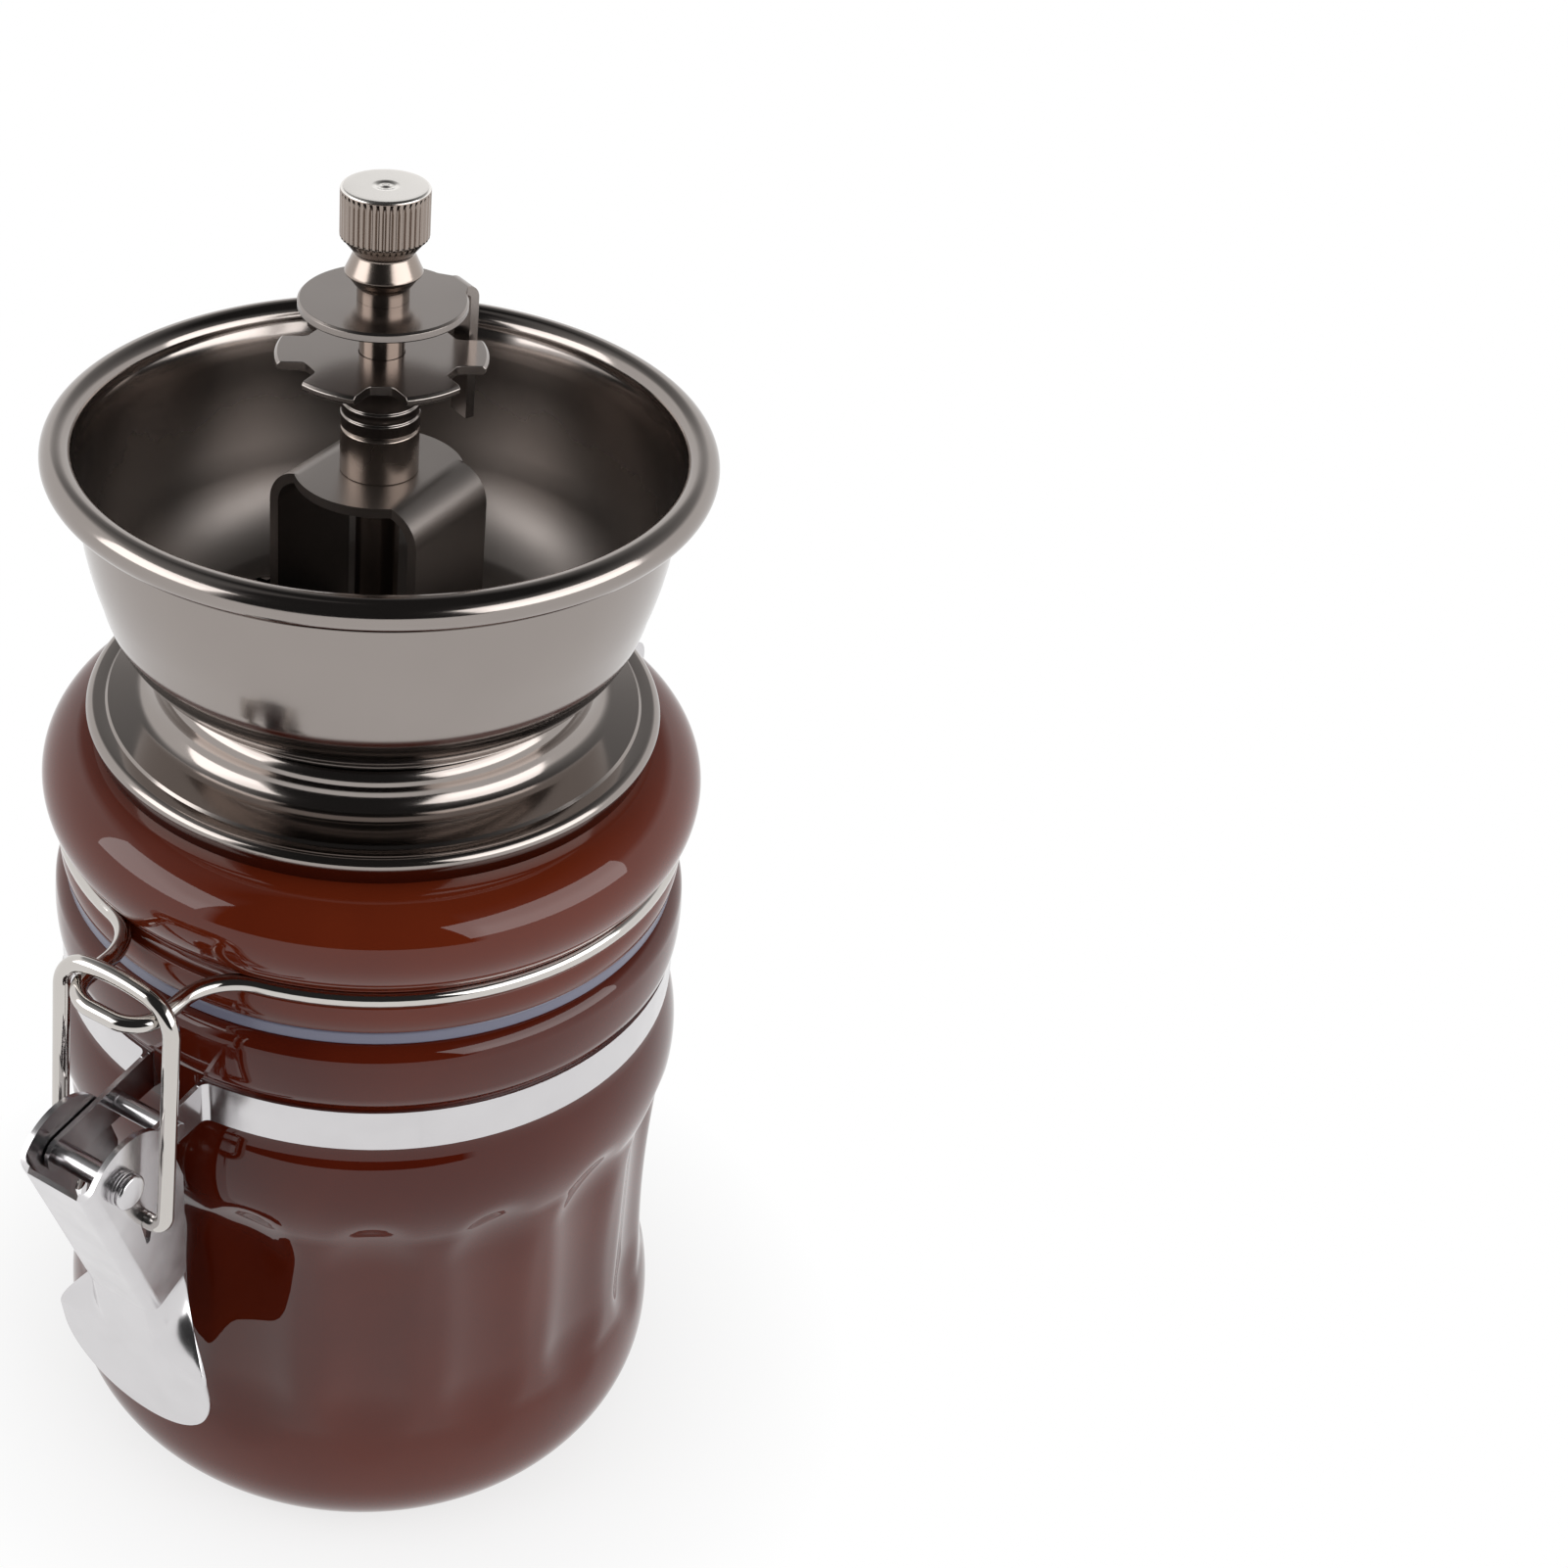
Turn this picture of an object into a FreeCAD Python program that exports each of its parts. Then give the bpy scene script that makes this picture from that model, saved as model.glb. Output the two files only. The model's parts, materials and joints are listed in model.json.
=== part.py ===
import FreeCAD, Part
import math
import os
import Sketcher

# Manual coffee grinder: fluted ceramic jar, clip lid with a hopper, conical burrs below the lid.
# Frame: millimetres, +Z up, origin at the centre of the jar's foot on the table. The latch is at -Y, the
# lid's hinge at +Y and the legs of the hopper's bracket at +X and -X.

doc = FreeCAD.newDocument("grinder")
sheet = doc.addObject("Spreadsheet::Sheet", "Sizes")
Vec = FreeCAD.Vector


class Size:
    """A size with its value in millimetres and the expression that gives it from the sheet."""

    def __init__(self, value, text):
        self.value = float(value)
        self.text = text

    def __add__(self, other):
        other = as_size(other)
        return Size(self.value + other.value, "(%s + %s)" % (self.text, other.text))

    def __radd__(self, other):
        return as_size(other) + self

    def __sub__(self, other):
        other = as_size(other)
        return Size(self.value - other.value, "(%s - %s)" % (self.text, other.text))

    def __rsub__(self, other):
        return as_size(other) - self

    def __mul__(self, other):
        other = as_size(other)
        return Size(self.value * other.value, "(%s * %s)" % (self.text, other.text))

    def __rmul__(self, other):
        return as_size(other) * self

    def __truediv__(self, other):
        other = as_size(other)
        return Size(self.value / other.value, "(%s / %s)" % (self.text, other.text))

    def __neg__(self):
        return Size(-self.value, "(0 - %s)" % self.text)

    def root(self):
        return Size(math.sqrt(self.value), "sqrt(%s)" % self.text)

    def sine(self):
        return Size(math.sin(math.radians(self.value)), "sin(%s * 1 deg)" % self.text)

    def cosine(self):
        return Size(math.cos(math.radians(self.value)), "cos(%s * 1 deg)" % self.text)

    def angle(self, other):
        """The angle in degrees whose tangent is this size over the other."""
        text = "(atan(%s / %s) / 1 deg)" % (self.text, other.text)
        return Size(math.degrees(math.atan(self.value / other.value)), text)


def as_size(x):
    return x if isinstance(x, Size) else Size(x, "(%r)" % float(x) if x < 0 else repr(float(x)))


SIZES = (
    # jar, measured from the floor up
    ("foot_r", 36.0), ("belly_r", 52.0), ("belly_z", 16.5), ("waist_r", 49.4), ("waist_low_z", 27.0),
    ("waist_top_z", 72.0), ("shoulder_r", 51.4), ("neck_r", 49.2), ("neck_z", 89.6),
    ("lip_z", 99.3), ("lip_r", 50.4), ("jar_top_z", 111.1), ("jar_wall", 4.6), ("jar_floor", 6.0),
    ("mouth_r", 41.2), ("mouth_z", 97.0), ("lip_step", 1.6), ("lip_round", 3.2),
    ("flute_count", 16), ("flute_depth", 1.3), ("flute_round", 24.0), ("flute_low_z", 36.0),
    ("flute_top_z", 64.5), ("flute_turn", -75.3),
    # neck band and latch
    ("band_under", 4.05), ("band_t", 0.7), ("band_w", 7.3), ("band_gap", 0.05), ("arm_x", 4.9),
    ("arm_t", 0.8), ("arm_fillet", 1.5), ("arm_end_r", 2.9), ("pivot_out", 70.0), ("pivot_drop", 1.45),
    ("spacer_gap", 0.1), ("spacer_drop", 1.0), ("spacer_r", 1.6), ("spacer_head_r", 1.75),
    ("spacer_head_t", 0.8), ("spacer_pin_r", 1.0), ("pin_r", 1.2), ("pin_head_r", 2.8),
    ("pin_disc_t", 0.6), ("pin_neck_r", 2.1), ("pin_neck_t", 0.5), ("pin_head_t", 0.9),
    ("pin_head_round", 0.5), ("run_gap", 0.05), ("sleeve_r", 1.9), ("side_gap", 0.3),
    ("sheet_t", 0.9), ("wall_out", 7.4), ("wall_up", 1.9), ("wall_bend", 2.2), ("crease_in", 5.4),
    ("crease_down", 31.5), ("cheek_round", 9.8), ("cheek_back", 11.3), ("cheek_back_down", 1.5),
    ("cheek_rear", 13.5), ("cheek_rear_down", 8.0), ("tab_flare", 11.0), ("tab_long", 31.8),
    ("tab_turn", 9.7), ("tab_r", 14.9), ("tab_corner", 3.0),
    ("hook_in", 5.0), ("hook_down", 10.5), ("hook_tip", 4.4), ("bow_in", 8.5), ("bow_over", 4.45),
    ("wire_r", 1.3), ("link_x", 10.3), ("link_bend", 5.6), ("bow_turn", 80.0), ("hook_bend", 2.6),
    ("hook_gap", 0.2),
    # lid, gasket and lid wire
    ("gasket_t", 2.4), ("gasket_r", 48.7), ("spigot_r", 39.6), ("spigot_deep", 9.0), ("lid_bore_r", 35.6),
    ("ring_r", 49.0), ("groove_gap", 0.15), ("wire_up", 6.3), ("wire_ring_r", 48.5),
    ("dome_r", 8.5), ("dome_ring_r", 43.0), ("dome_up", 8.2), ("lid_hole_r", 27.0), ("lid_plate", 5.0),
    ("nose_out", 65.0), ("nose_x", 7.1), ("nose_bend", 5.0), ("leave_bend", 9.5),
    ("hinge_over", 10.6), ("hinge_leg_x", 8.0), ("hinge_bend", 2.5), ("ear_x", 11.2), ("ear_t", 1.0),
    ("ear_r", 3.6), ("ear_gap", 1.3), ("plate_gap", 0.03), ("rivet_x", 6.0), ("rivet_r", 1.0),
    ("rivet_head_r", 1.9), ("rivet_head_t", 0.8),
    # hopper, its base and the bracket
    ("base_up", 11.5), ("base_t", 0.8), ("base_edge_r", 44.2), ("base_edge_up", 4.5),
    ("base_neck_r", 33.2), ("base_inner_r", 17.5), ("bowl_t", 1.0), ("bowl_floor_r", 31.5),
    ("bowl_side_r", 41.2), ("bowl_side_up", 13.0), ("bowl_lip_r", 44.0), ("bowl_lip_up", 30.5),
    ("rim_ring_r", 46.5), ("rim_tube_r", 2.48), ("rim_up", 35.0), ("bean_hole_r", 12.6),
    ("bracket_x", 13.1), ("bracket_t", 1.5), ("bracket_up", 31.5), ("bracket_half_w", 9.0),
    ("bracket_round", 5.6), ("bracket_top_r", 12.5), ("foot_x", 20.6), ("foot_half_w", 6.0),
    ("screw_r", 2.0), ("screw_gap", 0.15), ("screw_head_r", 3.6), ("screw_head_t", 2.0),
    ("screw_len", 14.0), ("slot_w", 1.0),
    # bush, shaft, adjusting nut, stopper and thumb nut
    ("shaft_r", 3.25), ("bush_r", 5.75), ("bush_up", 7.2), ("bush_low_r", 4.6), ("thrust_gap", 0.05),
    ("disc_up", 11.3), ("disc_r", 15.2), ("disc_t", 1.4), ("notch_count", 6), ("notch_root_r", 11.4),
    ("notch_half", 2.0), ("notch_mouth", 4.1), ("notch_turn", 65.0), ("collar_r", 5.8),
    ("collar_ring", 0.22), ("plate_up", 8.1), ("plate_t", 1.4), ("plate_r", 12.0), ("key_tab_r", 13.1),
    ("key_tab_t", 1.4), ("key_tab_half", 2.1), ("key_web_half", 4.2), ("key_tab_drop", 20.8),
    ("key_bend", 2.0), ("stud_r", 2.5), ("stud_up", 13.6), ("flat_half", 1.9), ("flat_gap", 0.08),
    ("thread_gap", 0.05), ("nut_tall", 16.4), ("nut_r", 6.25), ("nut_bevel_up", 7.1),
    ("nut_head_up", 9.4), ("nut_waist_r", 4.2), ("nut_flare_r", 5.5), ("nut_flare_up", 4.1),
    ("nut_neck_r", 3.7), ("nut_neck_up", 2.0), ("nut_roof", 1.3), ("rib_count", 42), ("rib_depth", 0.38),
    # burrs
    ("housing_r", 24.4), ("housing_bore_r", 15.5), ("housing_deep", 29.5), ("housing_flange_r", 33.5),
    ("housing_flange_t", 3.0), ("burr_r", 21.0), ("burr_top_down", 5.5), ("burr_tall", 21.5),
    ("burr_throat_r", 13.0), ("burr_throat", 6.0), ("burr_mouth_r", 17.6), ("press_gap", 0.05),
    ("hub_r", 6.2), ("hub_down", 3.0), ("hub_tall", 6.4), ("spoke_w", 2.4), ("cone_top_r", 6.6),
    ("cone_mid_r", 12.4), ("cone_low_r", 16.9), ("cone_top_up", 1.6), ("cone_mid_tall", 12.0),
    ("cone_tall", 24.6), ("square_half", 2.15), ("square_gap", 0.1), ("ridge_count", 18),
    ("ridge_depth", 1.0), ("washer_r", 8.0), ("washer_t", 1.2), ("burr_nut_half", 4.0),
    ("burr_nut_t", 4.0), ("shaft_end", 7.5), ("spring_r", 4.9), ("spring_wire_r", 0.45),
    ("spring_turns", 4), ("spring_cup_t", 0.8),
)

S = {}
for row, (alias, value) in enumerate(SIZES, start=1):
    sheet.set("A%d" % row, alias)
    sheet.set("B%d" % row, str(value))
    sheet.setAlias("B%d" % row, alias)
    S[alias] = Size(value, "Sizes." + alias)
doc.recompute()

NODES = {}


def tie(obj, prop, size):
    """Binds a property to a size's expression."""
    obj.setExpression(prop, as_size(size).text)


def new_body(node):
    """An empty body whose label names its file."""
    body = doc.addObject("PartDesign::Body", node + "_body")
    body.Label = node
    NODES[node] = body
    return body


def new_sketch(body, role, offset=None, shift=None, angle=None):
    """A sketch on the body's own XY, XZ or YZ plane, set off along its normal. On XZ the normal is -Y."""
    sketch = body.newObject("Sketcher::SketchObject", body.Label + "_sketch")
    plane = [f for f in body.Origin.OriginFeatures if f.Role == role + "_Plane"][0]
    sketch.AttachmentSupport = [(plane, "")]
    sketch.MapMode = "FlatFace"
    if offset is not None:
        tie(sketch, "AttachmentOffset.Base.z", offset)
    if shift is not None:
        tie(sketch, "AttachmentOffset.Base.x", shift)
    if angle is not None:
        tie(sketch, "AttachmentOffset.Rotation.Angle", angle)
    return sketch


def swung_sketch(body, angle):
    """A sketch on the body's XZ plane, swung about the body's Z axis."""
    sketch = new_sketch(body, "XZ")
    sketch.AttachmentOffset = FreeCAD.Placement(Vec(), FreeCAD.Rotation(Vec(0, 1, 0), angle.value))
    tie(sketch, "AttachmentOffset.Rotation.Angle", angle)
    return sketch


def pin_point(sketch, geo, pos, x, y):
    """Holds a point of the sketch at x, y, each bound to its size."""
    for kind, axis, coordinate in (("DistanceX", -2, as_size(x)), ("DistanceY", -1, as_size(y))):
        if abs(coordinate.value) < 1e-9:
            sketch.addConstraint(Sketcher.Constraint("PointOnObject", geo, pos, axis))
        elif coordinate.value > 0:
            index = sketch.addConstraint(Sketcher.Constraint(kind, -1, 1, geo, pos, coordinate.value))
            tie(sketch, "Constraints[%d]" % index, coordinate)
        else:
            index = sketch.addConstraint(Sketcher.Constraint(kind, geo, pos, -1, 1, -coordinate.value))
            tie(sketch, "Constraints[%d]" % index, -coordinate)


def draw(sketch, points, closed=True):
    """Draws lines and arcs through points (x, y) or (x, y, r). With r, the stretch to the next point is an
    arc of that radius, counter-clockwise if r is positive and clockwise if it is negative."""
    count = len(points)
    stretches = count if closed else count - 1
    ends = []
    for i in range(stretches):
        here = points[i]
        there = points[(i + 1) % count]
        a = Vec(as_size(here[0]).value, as_size(here[1]).value, 0)
        b = Vec(as_size(there[0]).value, as_size(there[1]).value, 0)
        if len(here) == 2:
            geo = sketch.addGeometry(Part.LineSegment(a, b), False)
            ends.append((geo, 1, 2, None))
            continue
        radius = as_size(here[2])
        r = abs(radius.value)
        chord = b.sub(a)
        half = chord.Length / 2
        rise = math.sqrt(max(r * r - half * half, 0))
        side = Vec(-chord.y, chord.x, 0).normalize()
        turn = 1 if radius.value > 0 else -1
        centre = a.add(b).multiply(0.5).add(side.multiply(rise * turn))
        first, last = (a, b) if turn > 0 else (b, a)
        start = math.atan2(first.y - centre.y, first.x - centre.x)
        stop = math.atan2(last.y - centre.y, last.x - centre.x)
        if stop <= start:
            stop += 2 * math.pi
        circle = Part.Circle(centre, Vec(0, 0, 1), r)
        geo = sketch.addGeometry(Part.ArcOfCircle(circle, start, stop), False)
        ends.append((geo, 1, 2, radius) if turn > 0 else (geo, 2, 1, radius))
    for i, (geo, first, last, radius) in enumerate(ends):
        if i + 1 < len(ends) or closed:
            nxt = ends[(i + 1) % len(ends)]
            sketch.addConstraint(Sketcher.Constraint("Coincident", geo, last, nxt[0], nxt[1]))
        pin_point(sketch, geo, first, points[i][0], points[i][1])
        if radius is None:
            continue
        here = points[i]
        there = points[(i + 1) % count]
        across = [as_size(there[k]).value - as_size(here[k]).value for k in (0, 1)]
        if math.hypot(*across) > 1.99999 * abs(radius.value):
            # a half circle: its centre stands midway between its ends
            flat = abs(across[0]) > abs(across[1])
            kind, k, axis = ("DistanceY", 1, -1) if flat else ("DistanceX", 0, -2)
            middle = (as_size(here[k]) + as_size(there[k])) / 2
            if abs(middle.value) < 1e-9:
                sketch.addConstraint(Sketcher.Constraint("PointOnObject", geo, 3, axis))
                continue
            ahead = middle.value > 0
            pair = (-1, 1, geo, 3) if ahead else (geo, 3, -1, 1)
            index = sketch.addConstraint(Sketcher.Constraint(kind, *pair, abs(middle.value)))
            tie(sketch, "Constraints[%d]" % index, middle if ahead else -middle)
            continue
        index = sketch.addConstraint(Sketcher.Constraint("Radius", geo, abs(radius.value)))
        tie(sketch, "Constraints[%d]" % index, radius if radius.value > 0 else -radius)
    if not closed:
        pin_point(sketch, ends[-1][0], ends[-1][2], points[-1][0], points[-1][1])
    return sketch


def ring(sketch, x, y, r):
    """Draws a circle of radius r about x, y."""
    centre = Vec(as_size(x).value, as_size(y).value, 0)
    geo = sketch.addGeometry(Part.Circle(centre, Vec(0, 0, 1), as_size(r).value), False)
    pin_point(sketch, geo, 3, x, y)
    index = sketch.addConstraint(Sketcher.Constraint("Radius", geo, as_size(r).value))
    tie(sketch, "Constraints[%d]" % index, r)
    return sketch


def block(x0, y0, x1, y1):
    """The corners of an upright rectangle."""
    return [(x0, y0), (x1, y0), (x1, y1), (x0, y1)]


def feature(body, kind, sketch):
    made = body.newObject("PartDesign::" + kind, body.Label + "_" + kind.lower())
    made.Profile = sketch
    sketch.Visibility = False
    return made


def turned(body, points):
    """Turns a profile of (radius, height) points about the body's Z axis."""
    sketch = draw(new_sketch(body, "XZ"), points)
    made = feature(body, "Revolution", sketch)
    made.ReferenceAxis = (sketch, ["V_Axis"])
    made.Angle = 360.0
    return made


def pad(body, sketch, length, both=False, back=False):
    made = feature(body, "Pad", sketch)
    made.Length = as_size(length).value
    tie(made, "Length", length)
    if both:
        made.SideType = "Symmetric"
    made.Reversed = back
    return made


def pocket(body, sketch, length=None, both=False, back=False):
    """Cuts a sketch through a length, or right through both ways where no length is given."""
    made = feature(body, "Pocket", sketch)
    if length is None:
        made.Type = "ThroughAll"
        made.SideType = "Symmetric"
    else:
        made.Length = as_size(length).value
        tie(made, "Length", length)
        if both:
            made.SideType = "Symmetric"
    made.Reversed = back
    return made


def around(body, cut, count):
    """Repeats a cut evenly about the body's Z axis."""
    made = body.newObject("PartDesign::PolarPattern", body.Label + "_around")
    made.Originals = [cut]
    axis = [f for f in body.Origin.OriginFeatures if f.Role == "Z_Axis"][0]
    made.Axis = (axis, [""])
    made.Angle = 360.0
    tie(made, "Occurrences", count)
    body.Tip = made
    return made


def swept(body, profile, path):
    """Carries a profile along an open path of lines and arcs."""
    made = feature(body, "AdditivePipe", profile)
    made.Spine = (path, ["Edge%d" % (i + 1) for i in range(path.GeometryCount)])
    made.Transition = "Transformed"
    path.Visibility = False
    return made


def rod(body, role, x, y, r, low, high):
    """A round bar along a plane's normal, from low to high."""
    sketch = ring(new_sketch(body, role, offset=low), x, y, r)
    return pad(body, sketch, high - low)


# places and heights that several pieces share, each from the piece that it stands on
band_r = S["neck_r"] + S["band_gap"]
band_out_r = band_r + S["band_t"]
band_z = S["lip_z"] - S["band_under"]
band_low = band_z - S["band_w"] / 2
band_top = band_z + S["band_w"] / 2
arm_out = S["arm_x"] + S["arm_t"]
cheek_in = arm_out + S["side_gap"]
cheek_out = cheek_in + S["sheet_t"]
pivot_y = -S["pivot_out"]
pivot_z = band_z - S["pivot_drop"]
spacer_y = pivot_y + S["cheek_back"] + S["spacer_gap"] + S["spacer_head_r"]
spacer_z = band_z - S["spacer_drop"]
pin_hole = S["pin_r"] + S["run_gap"]
wire_hole = S["wire_r"] + S["run_gap"]
seat_z = S["jar_top_z"] + S["gasket_t"]
wire_z = seat_z + S["wire_up"]
hinge_y = S["lip_r"] + S["hinge_over"]
dome_z = wire_z + S["dome_up"]
lid_top = dome_z + S["dome_r"]
plate_under = lid_top - S["lid_plate"]
base_top = lid_top + S["base_up"]
base_edge_z = lid_top + S["base_edge_up"]
base_under = base_top - S["base_t"]
floor_z = base_top + S["bowl_t"]
foot_top = floor_z + S["bracket_t"]
bracket_z = base_top + S["bracket_up"]
bush_top = bracket_z + S["bush_up"]
disc_z = bush_top + S["disc_up"]
plate_z = disc_z + S["plate_up"]
stud_z = plate_z + S["stud_up"]
burr_top = lid_top - S["burr_top_down"]
burr_low = burr_top - S["burr_tall"]
hub_top = base_top - S["hub_down"]
hub_low = hub_top - S["hub_tall"]
cone_top = burr_top + S["cone_top_up"]
cone_mid = cone_top - S["cone_tall"] + S["cone_mid_tall"]
cone_low = cone_top - S["cone_tall"]
bore_r = S["shaft_r"] + S["run_gap"]
screw_hole = S["screw_r"] + S["screw_gap"]
rivet_turn = S["rivet_x"].angle(band_out_r)
sheet = S["sheet_t"]
lean = (S["wall_out"] + S["crease_in"]).angle(S["wall_up"] + S["crease_down"])


def make_jar():
    """Turned shell with rounded foot, belly, waist, shoulder ring, neck and lip ring; sixteen upright
    flutes are cut by bars with ball ends whose axes stand outside the waist."""
    body = new_body("jar")
    wall = S["jar_wall"]
    lip_low = S["lip_z"] + S["lip_step"]
    lip_high = S["jar_top_z"] - S["lip_round"]
    turned(body, [
        (0, 0), (S["foot_r"], 0, S["belly_z"]), (S["belly_r"], S["belly_z"], 30.0),
        (S["waist_r"] + 0.9, S["waist_low_z"], -260.0), (S["waist_r"] + 0.9, S["waist_top_z"], 22.0),
        (S["shoulder_r"] - 1.3, S["neck_z"] - 2.0), (S["neck_r"], S["neck_z"]), (S["neck_r"], S["lip_z"]),
        (S["lip_r"], lip_low, 30.0), (S["lip_r"], lip_high, 3.6), (S["lip_r"] - 2.6, S["jar_top_z"]),
        (S["mouth_r"] + 1.4, S["jar_top_z"], 1.4), (S["mouth_r"], S["jar_top_z"] - 1.4),
        (S["mouth_r"], S["mouth_z"], -8.0), (S["neck_r"] - wall, S["mouth_z"] - 8.0),
        (S["waist_r"] - wall, S["waist_top_z"]), (S["waist_r"] - wall, S["waist_low_z"]),
        (S["belly_r"] - wall - 2.5, S["belly_z"], -12.0), (S["foot_r"] - 3.0, S["jar_floor"]),
        (0, S["jar_floor"])])
    axis_x = S["waist_r"] - S["flute_depth"] + S["flute_round"]
    low = S["flute_low_z"]
    high = S["flute_top_z"]
    sketch = new_sketch(body, "XZ")
    draw(sketch, [(axis_x, low - S["flute_round"]), (axis_x, high + S["flute_round"], S["flute_round"]),
                  (axis_x - S["flute_round"], high), (axis_x - S["flute_round"], low, S["flute_round"])])
    cut = feature(body, "Groove", sketch)
    cut.ReferenceAxis = (sketch, ["Edge1"])
    cut.Angle = 360.0
    around(body, cut, S["flute_count"])
    tie(body, "Placement.Rotation.Angle", S["flute_turn"])


def rivet_holes(body):
    """Two radial holes at the rear for the rivets, through everything at that height."""
    for side in (1, -1):
        sketch = ring(swung_sketch(body, rivet_turn * side), 0, band_z, S["rivet_r"] + S["run_gap"])
        pocket(body, sketch, band_out_r + 10)


def arm_outline():
    """Side of an arm in (Y, Z), from inside the band's ring out to the round end about the pivot."""
    root = -(S["neck_r"] + S["band_gap"] + 0.1)
    end = S["arm_end_r"]
    return [(root, band_low), (root, band_top), (pivot_y, pivot_z + end, end), (pivot_y, pivot_z - end)]


def make_band():
    """Flat strip round the neck; both ends turn outwards and run side by side to the lever's pivot."""
    body = new_body("neck_band")
    turned(body, block(band_r, band_low, band_out_r, band_top))
    gap = draw(new_sketch(body, "XZ"), block(-S["arm_x"], band_low - 1, S["arm_x"], band_top + 1))
    pocket(body, gap, band_out_r + 5, back=True)
    arms = draw(new_sketch(body, "YZ"), arm_outline())
    pad(body, arms, arm_out * 2, both=True)
    inside = draw(new_sketch(body, "YZ"), block(pivot_y - 10, band_low - 5, -(S["neck_r"] - 3), band_top + 5))
    pocket(body, inside, S["arm_x"] * 2, both=True)
    bend = S["arm_fillet"]
    beside = arm_out + bend
    meet = (band_out_r * band_out_r - beside * beside).root()
    root = S["arm_t"] / 2
    for s in (1, -1):
        corner = new_sketch(body, "XY", offset=band_low)
        draw(corner, [
            (arm_out * s, -(meet + bend), -bend * s), (beside * s, -meet), (beside * s, -(meet - root)),
            ((arm_out - root) * s, -(meet - root)), ((arm_out - root) * s, -(meet + bend))])
        pad(body, corner, S["band_w"])
    holes = new_sketch(body, "YZ")
    ring(holes, pivot_y, pivot_z, pin_hole)
    ring(holes, spacer_y, spacer_z, S["spacer_pin_r"] + S["run_gap"])
    pocket(body, holes)
    rivet_holes(body)


def make_spacer():
    """Thick rivet that holds the arms apart near the jar, with a flat round head outside each arm."""
    body = new_body("band_spacer")
    head = S["spacer_head_t"]
    rod(body, "YZ", spacer_y, spacer_z, S["spacer_r"], -S["arm_x"], S["arm_x"])
    rod(body, "YZ", spacer_y, spacer_z, S["spacer_pin_r"], -(arm_out + head / 2), arm_out + head / 2)
    for low in (-(arm_out + head), arm_out):
        rod(body, "YZ", spacer_y, spacer_z, S["spacer_head_r"], low, low + head)


def make_sleeve():
    """Tube between the arms round the lever's pin."""
    body = new_body("pivot_sleeve")
    sketch = new_sketch(body, "YZ")
    ring(sketch, pivot_y, pivot_z, S["sleeve_r"])
    ring(sketch, pivot_y, pivot_z, pin_hole)
    pad(body, sketch, S["arm_x"] * 2, both=True)


def make_pin():
    """Rivet through both cheeks, both arms and the sleeve; each end has a disc, a neck and a round head."""
    body = new_body("lever_pin")
    r = S["pin_head_r"]
    neck = S["pin_neck_r"]
    soft = S["pin_head_round"]
    disc = cheek_out + S["pin_disc_t"]
    under = disc + S["pin_neck_t"]
    end = under + S["pin_head_t"]
    sketch = new_sketch(body, "XY", offset=0.0)
    draw(sketch, [
        (-end, 0), (-end, r - soft, -soft), (-(end - soft), r), (-under, r), (-under, neck), (-disc, neck),
        (-disc, r), (-cheek_out, r), (-cheek_out, S["pin_r"]), (cheek_out, S["pin_r"]), (cheek_out, r),
        (disc, r), (disc, neck), (under, neck), (under, r), (end - soft, r, -soft), (end, r - soft),
        (end, 0)])
    made = feature(body, "Revolution", sketch)
    made.ReferenceAxis = (sketch, ["H_Axis"])
    made.Angle = 360.0
    tie(body, "Placement.Base.y", pivot_y)
    tie(body, "Placement.Base.z", pivot_z)


def tilted_sketch(body, role, angle, y, z):
    """A sketch on the body's XY or XZ plane, tipped about X by an angle and set at y, z."""
    sketch = new_sketch(body, role)
    turn = FreeCAD.Rotation(Vec(1, 0, 0), angle.value)
    sketch.AttachmentOffset = FreeCAD.Placement(Vec(), turn)
    tie(sketch, "AttachmentOffset.Rotation.Angle", angle)
    across, along = ("y", "z") if role == "XY" else ("z", "y")
    tie(sketch, "AttachmentOffset.Base." + across, y if role == "XY" else -y)
    tie(sketch, "AttachmentOffset.Base." + along, z)
    return sketch


def channel_outline(deep):
    """Section of the lever's channel: front wall, two rounded corners and two cheeks of a given depth."""
    bend = S["wall_bend"]
    flat = cheek_out - bend
    return [
        (-cheek_out, deep), (-cheek_out, bend, bend), (-flat, 0), (flat, 0, bend), (cheek_out, bend),
        (cheek_out, deep), (cheek_in, deep), (cheek_in, bend, -(bend - sheet)), (flat, sheet),
        (-flat, sheet, -(bend - sheet)), (-cheek_in, bend), (-cheek_in, deep)]


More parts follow.
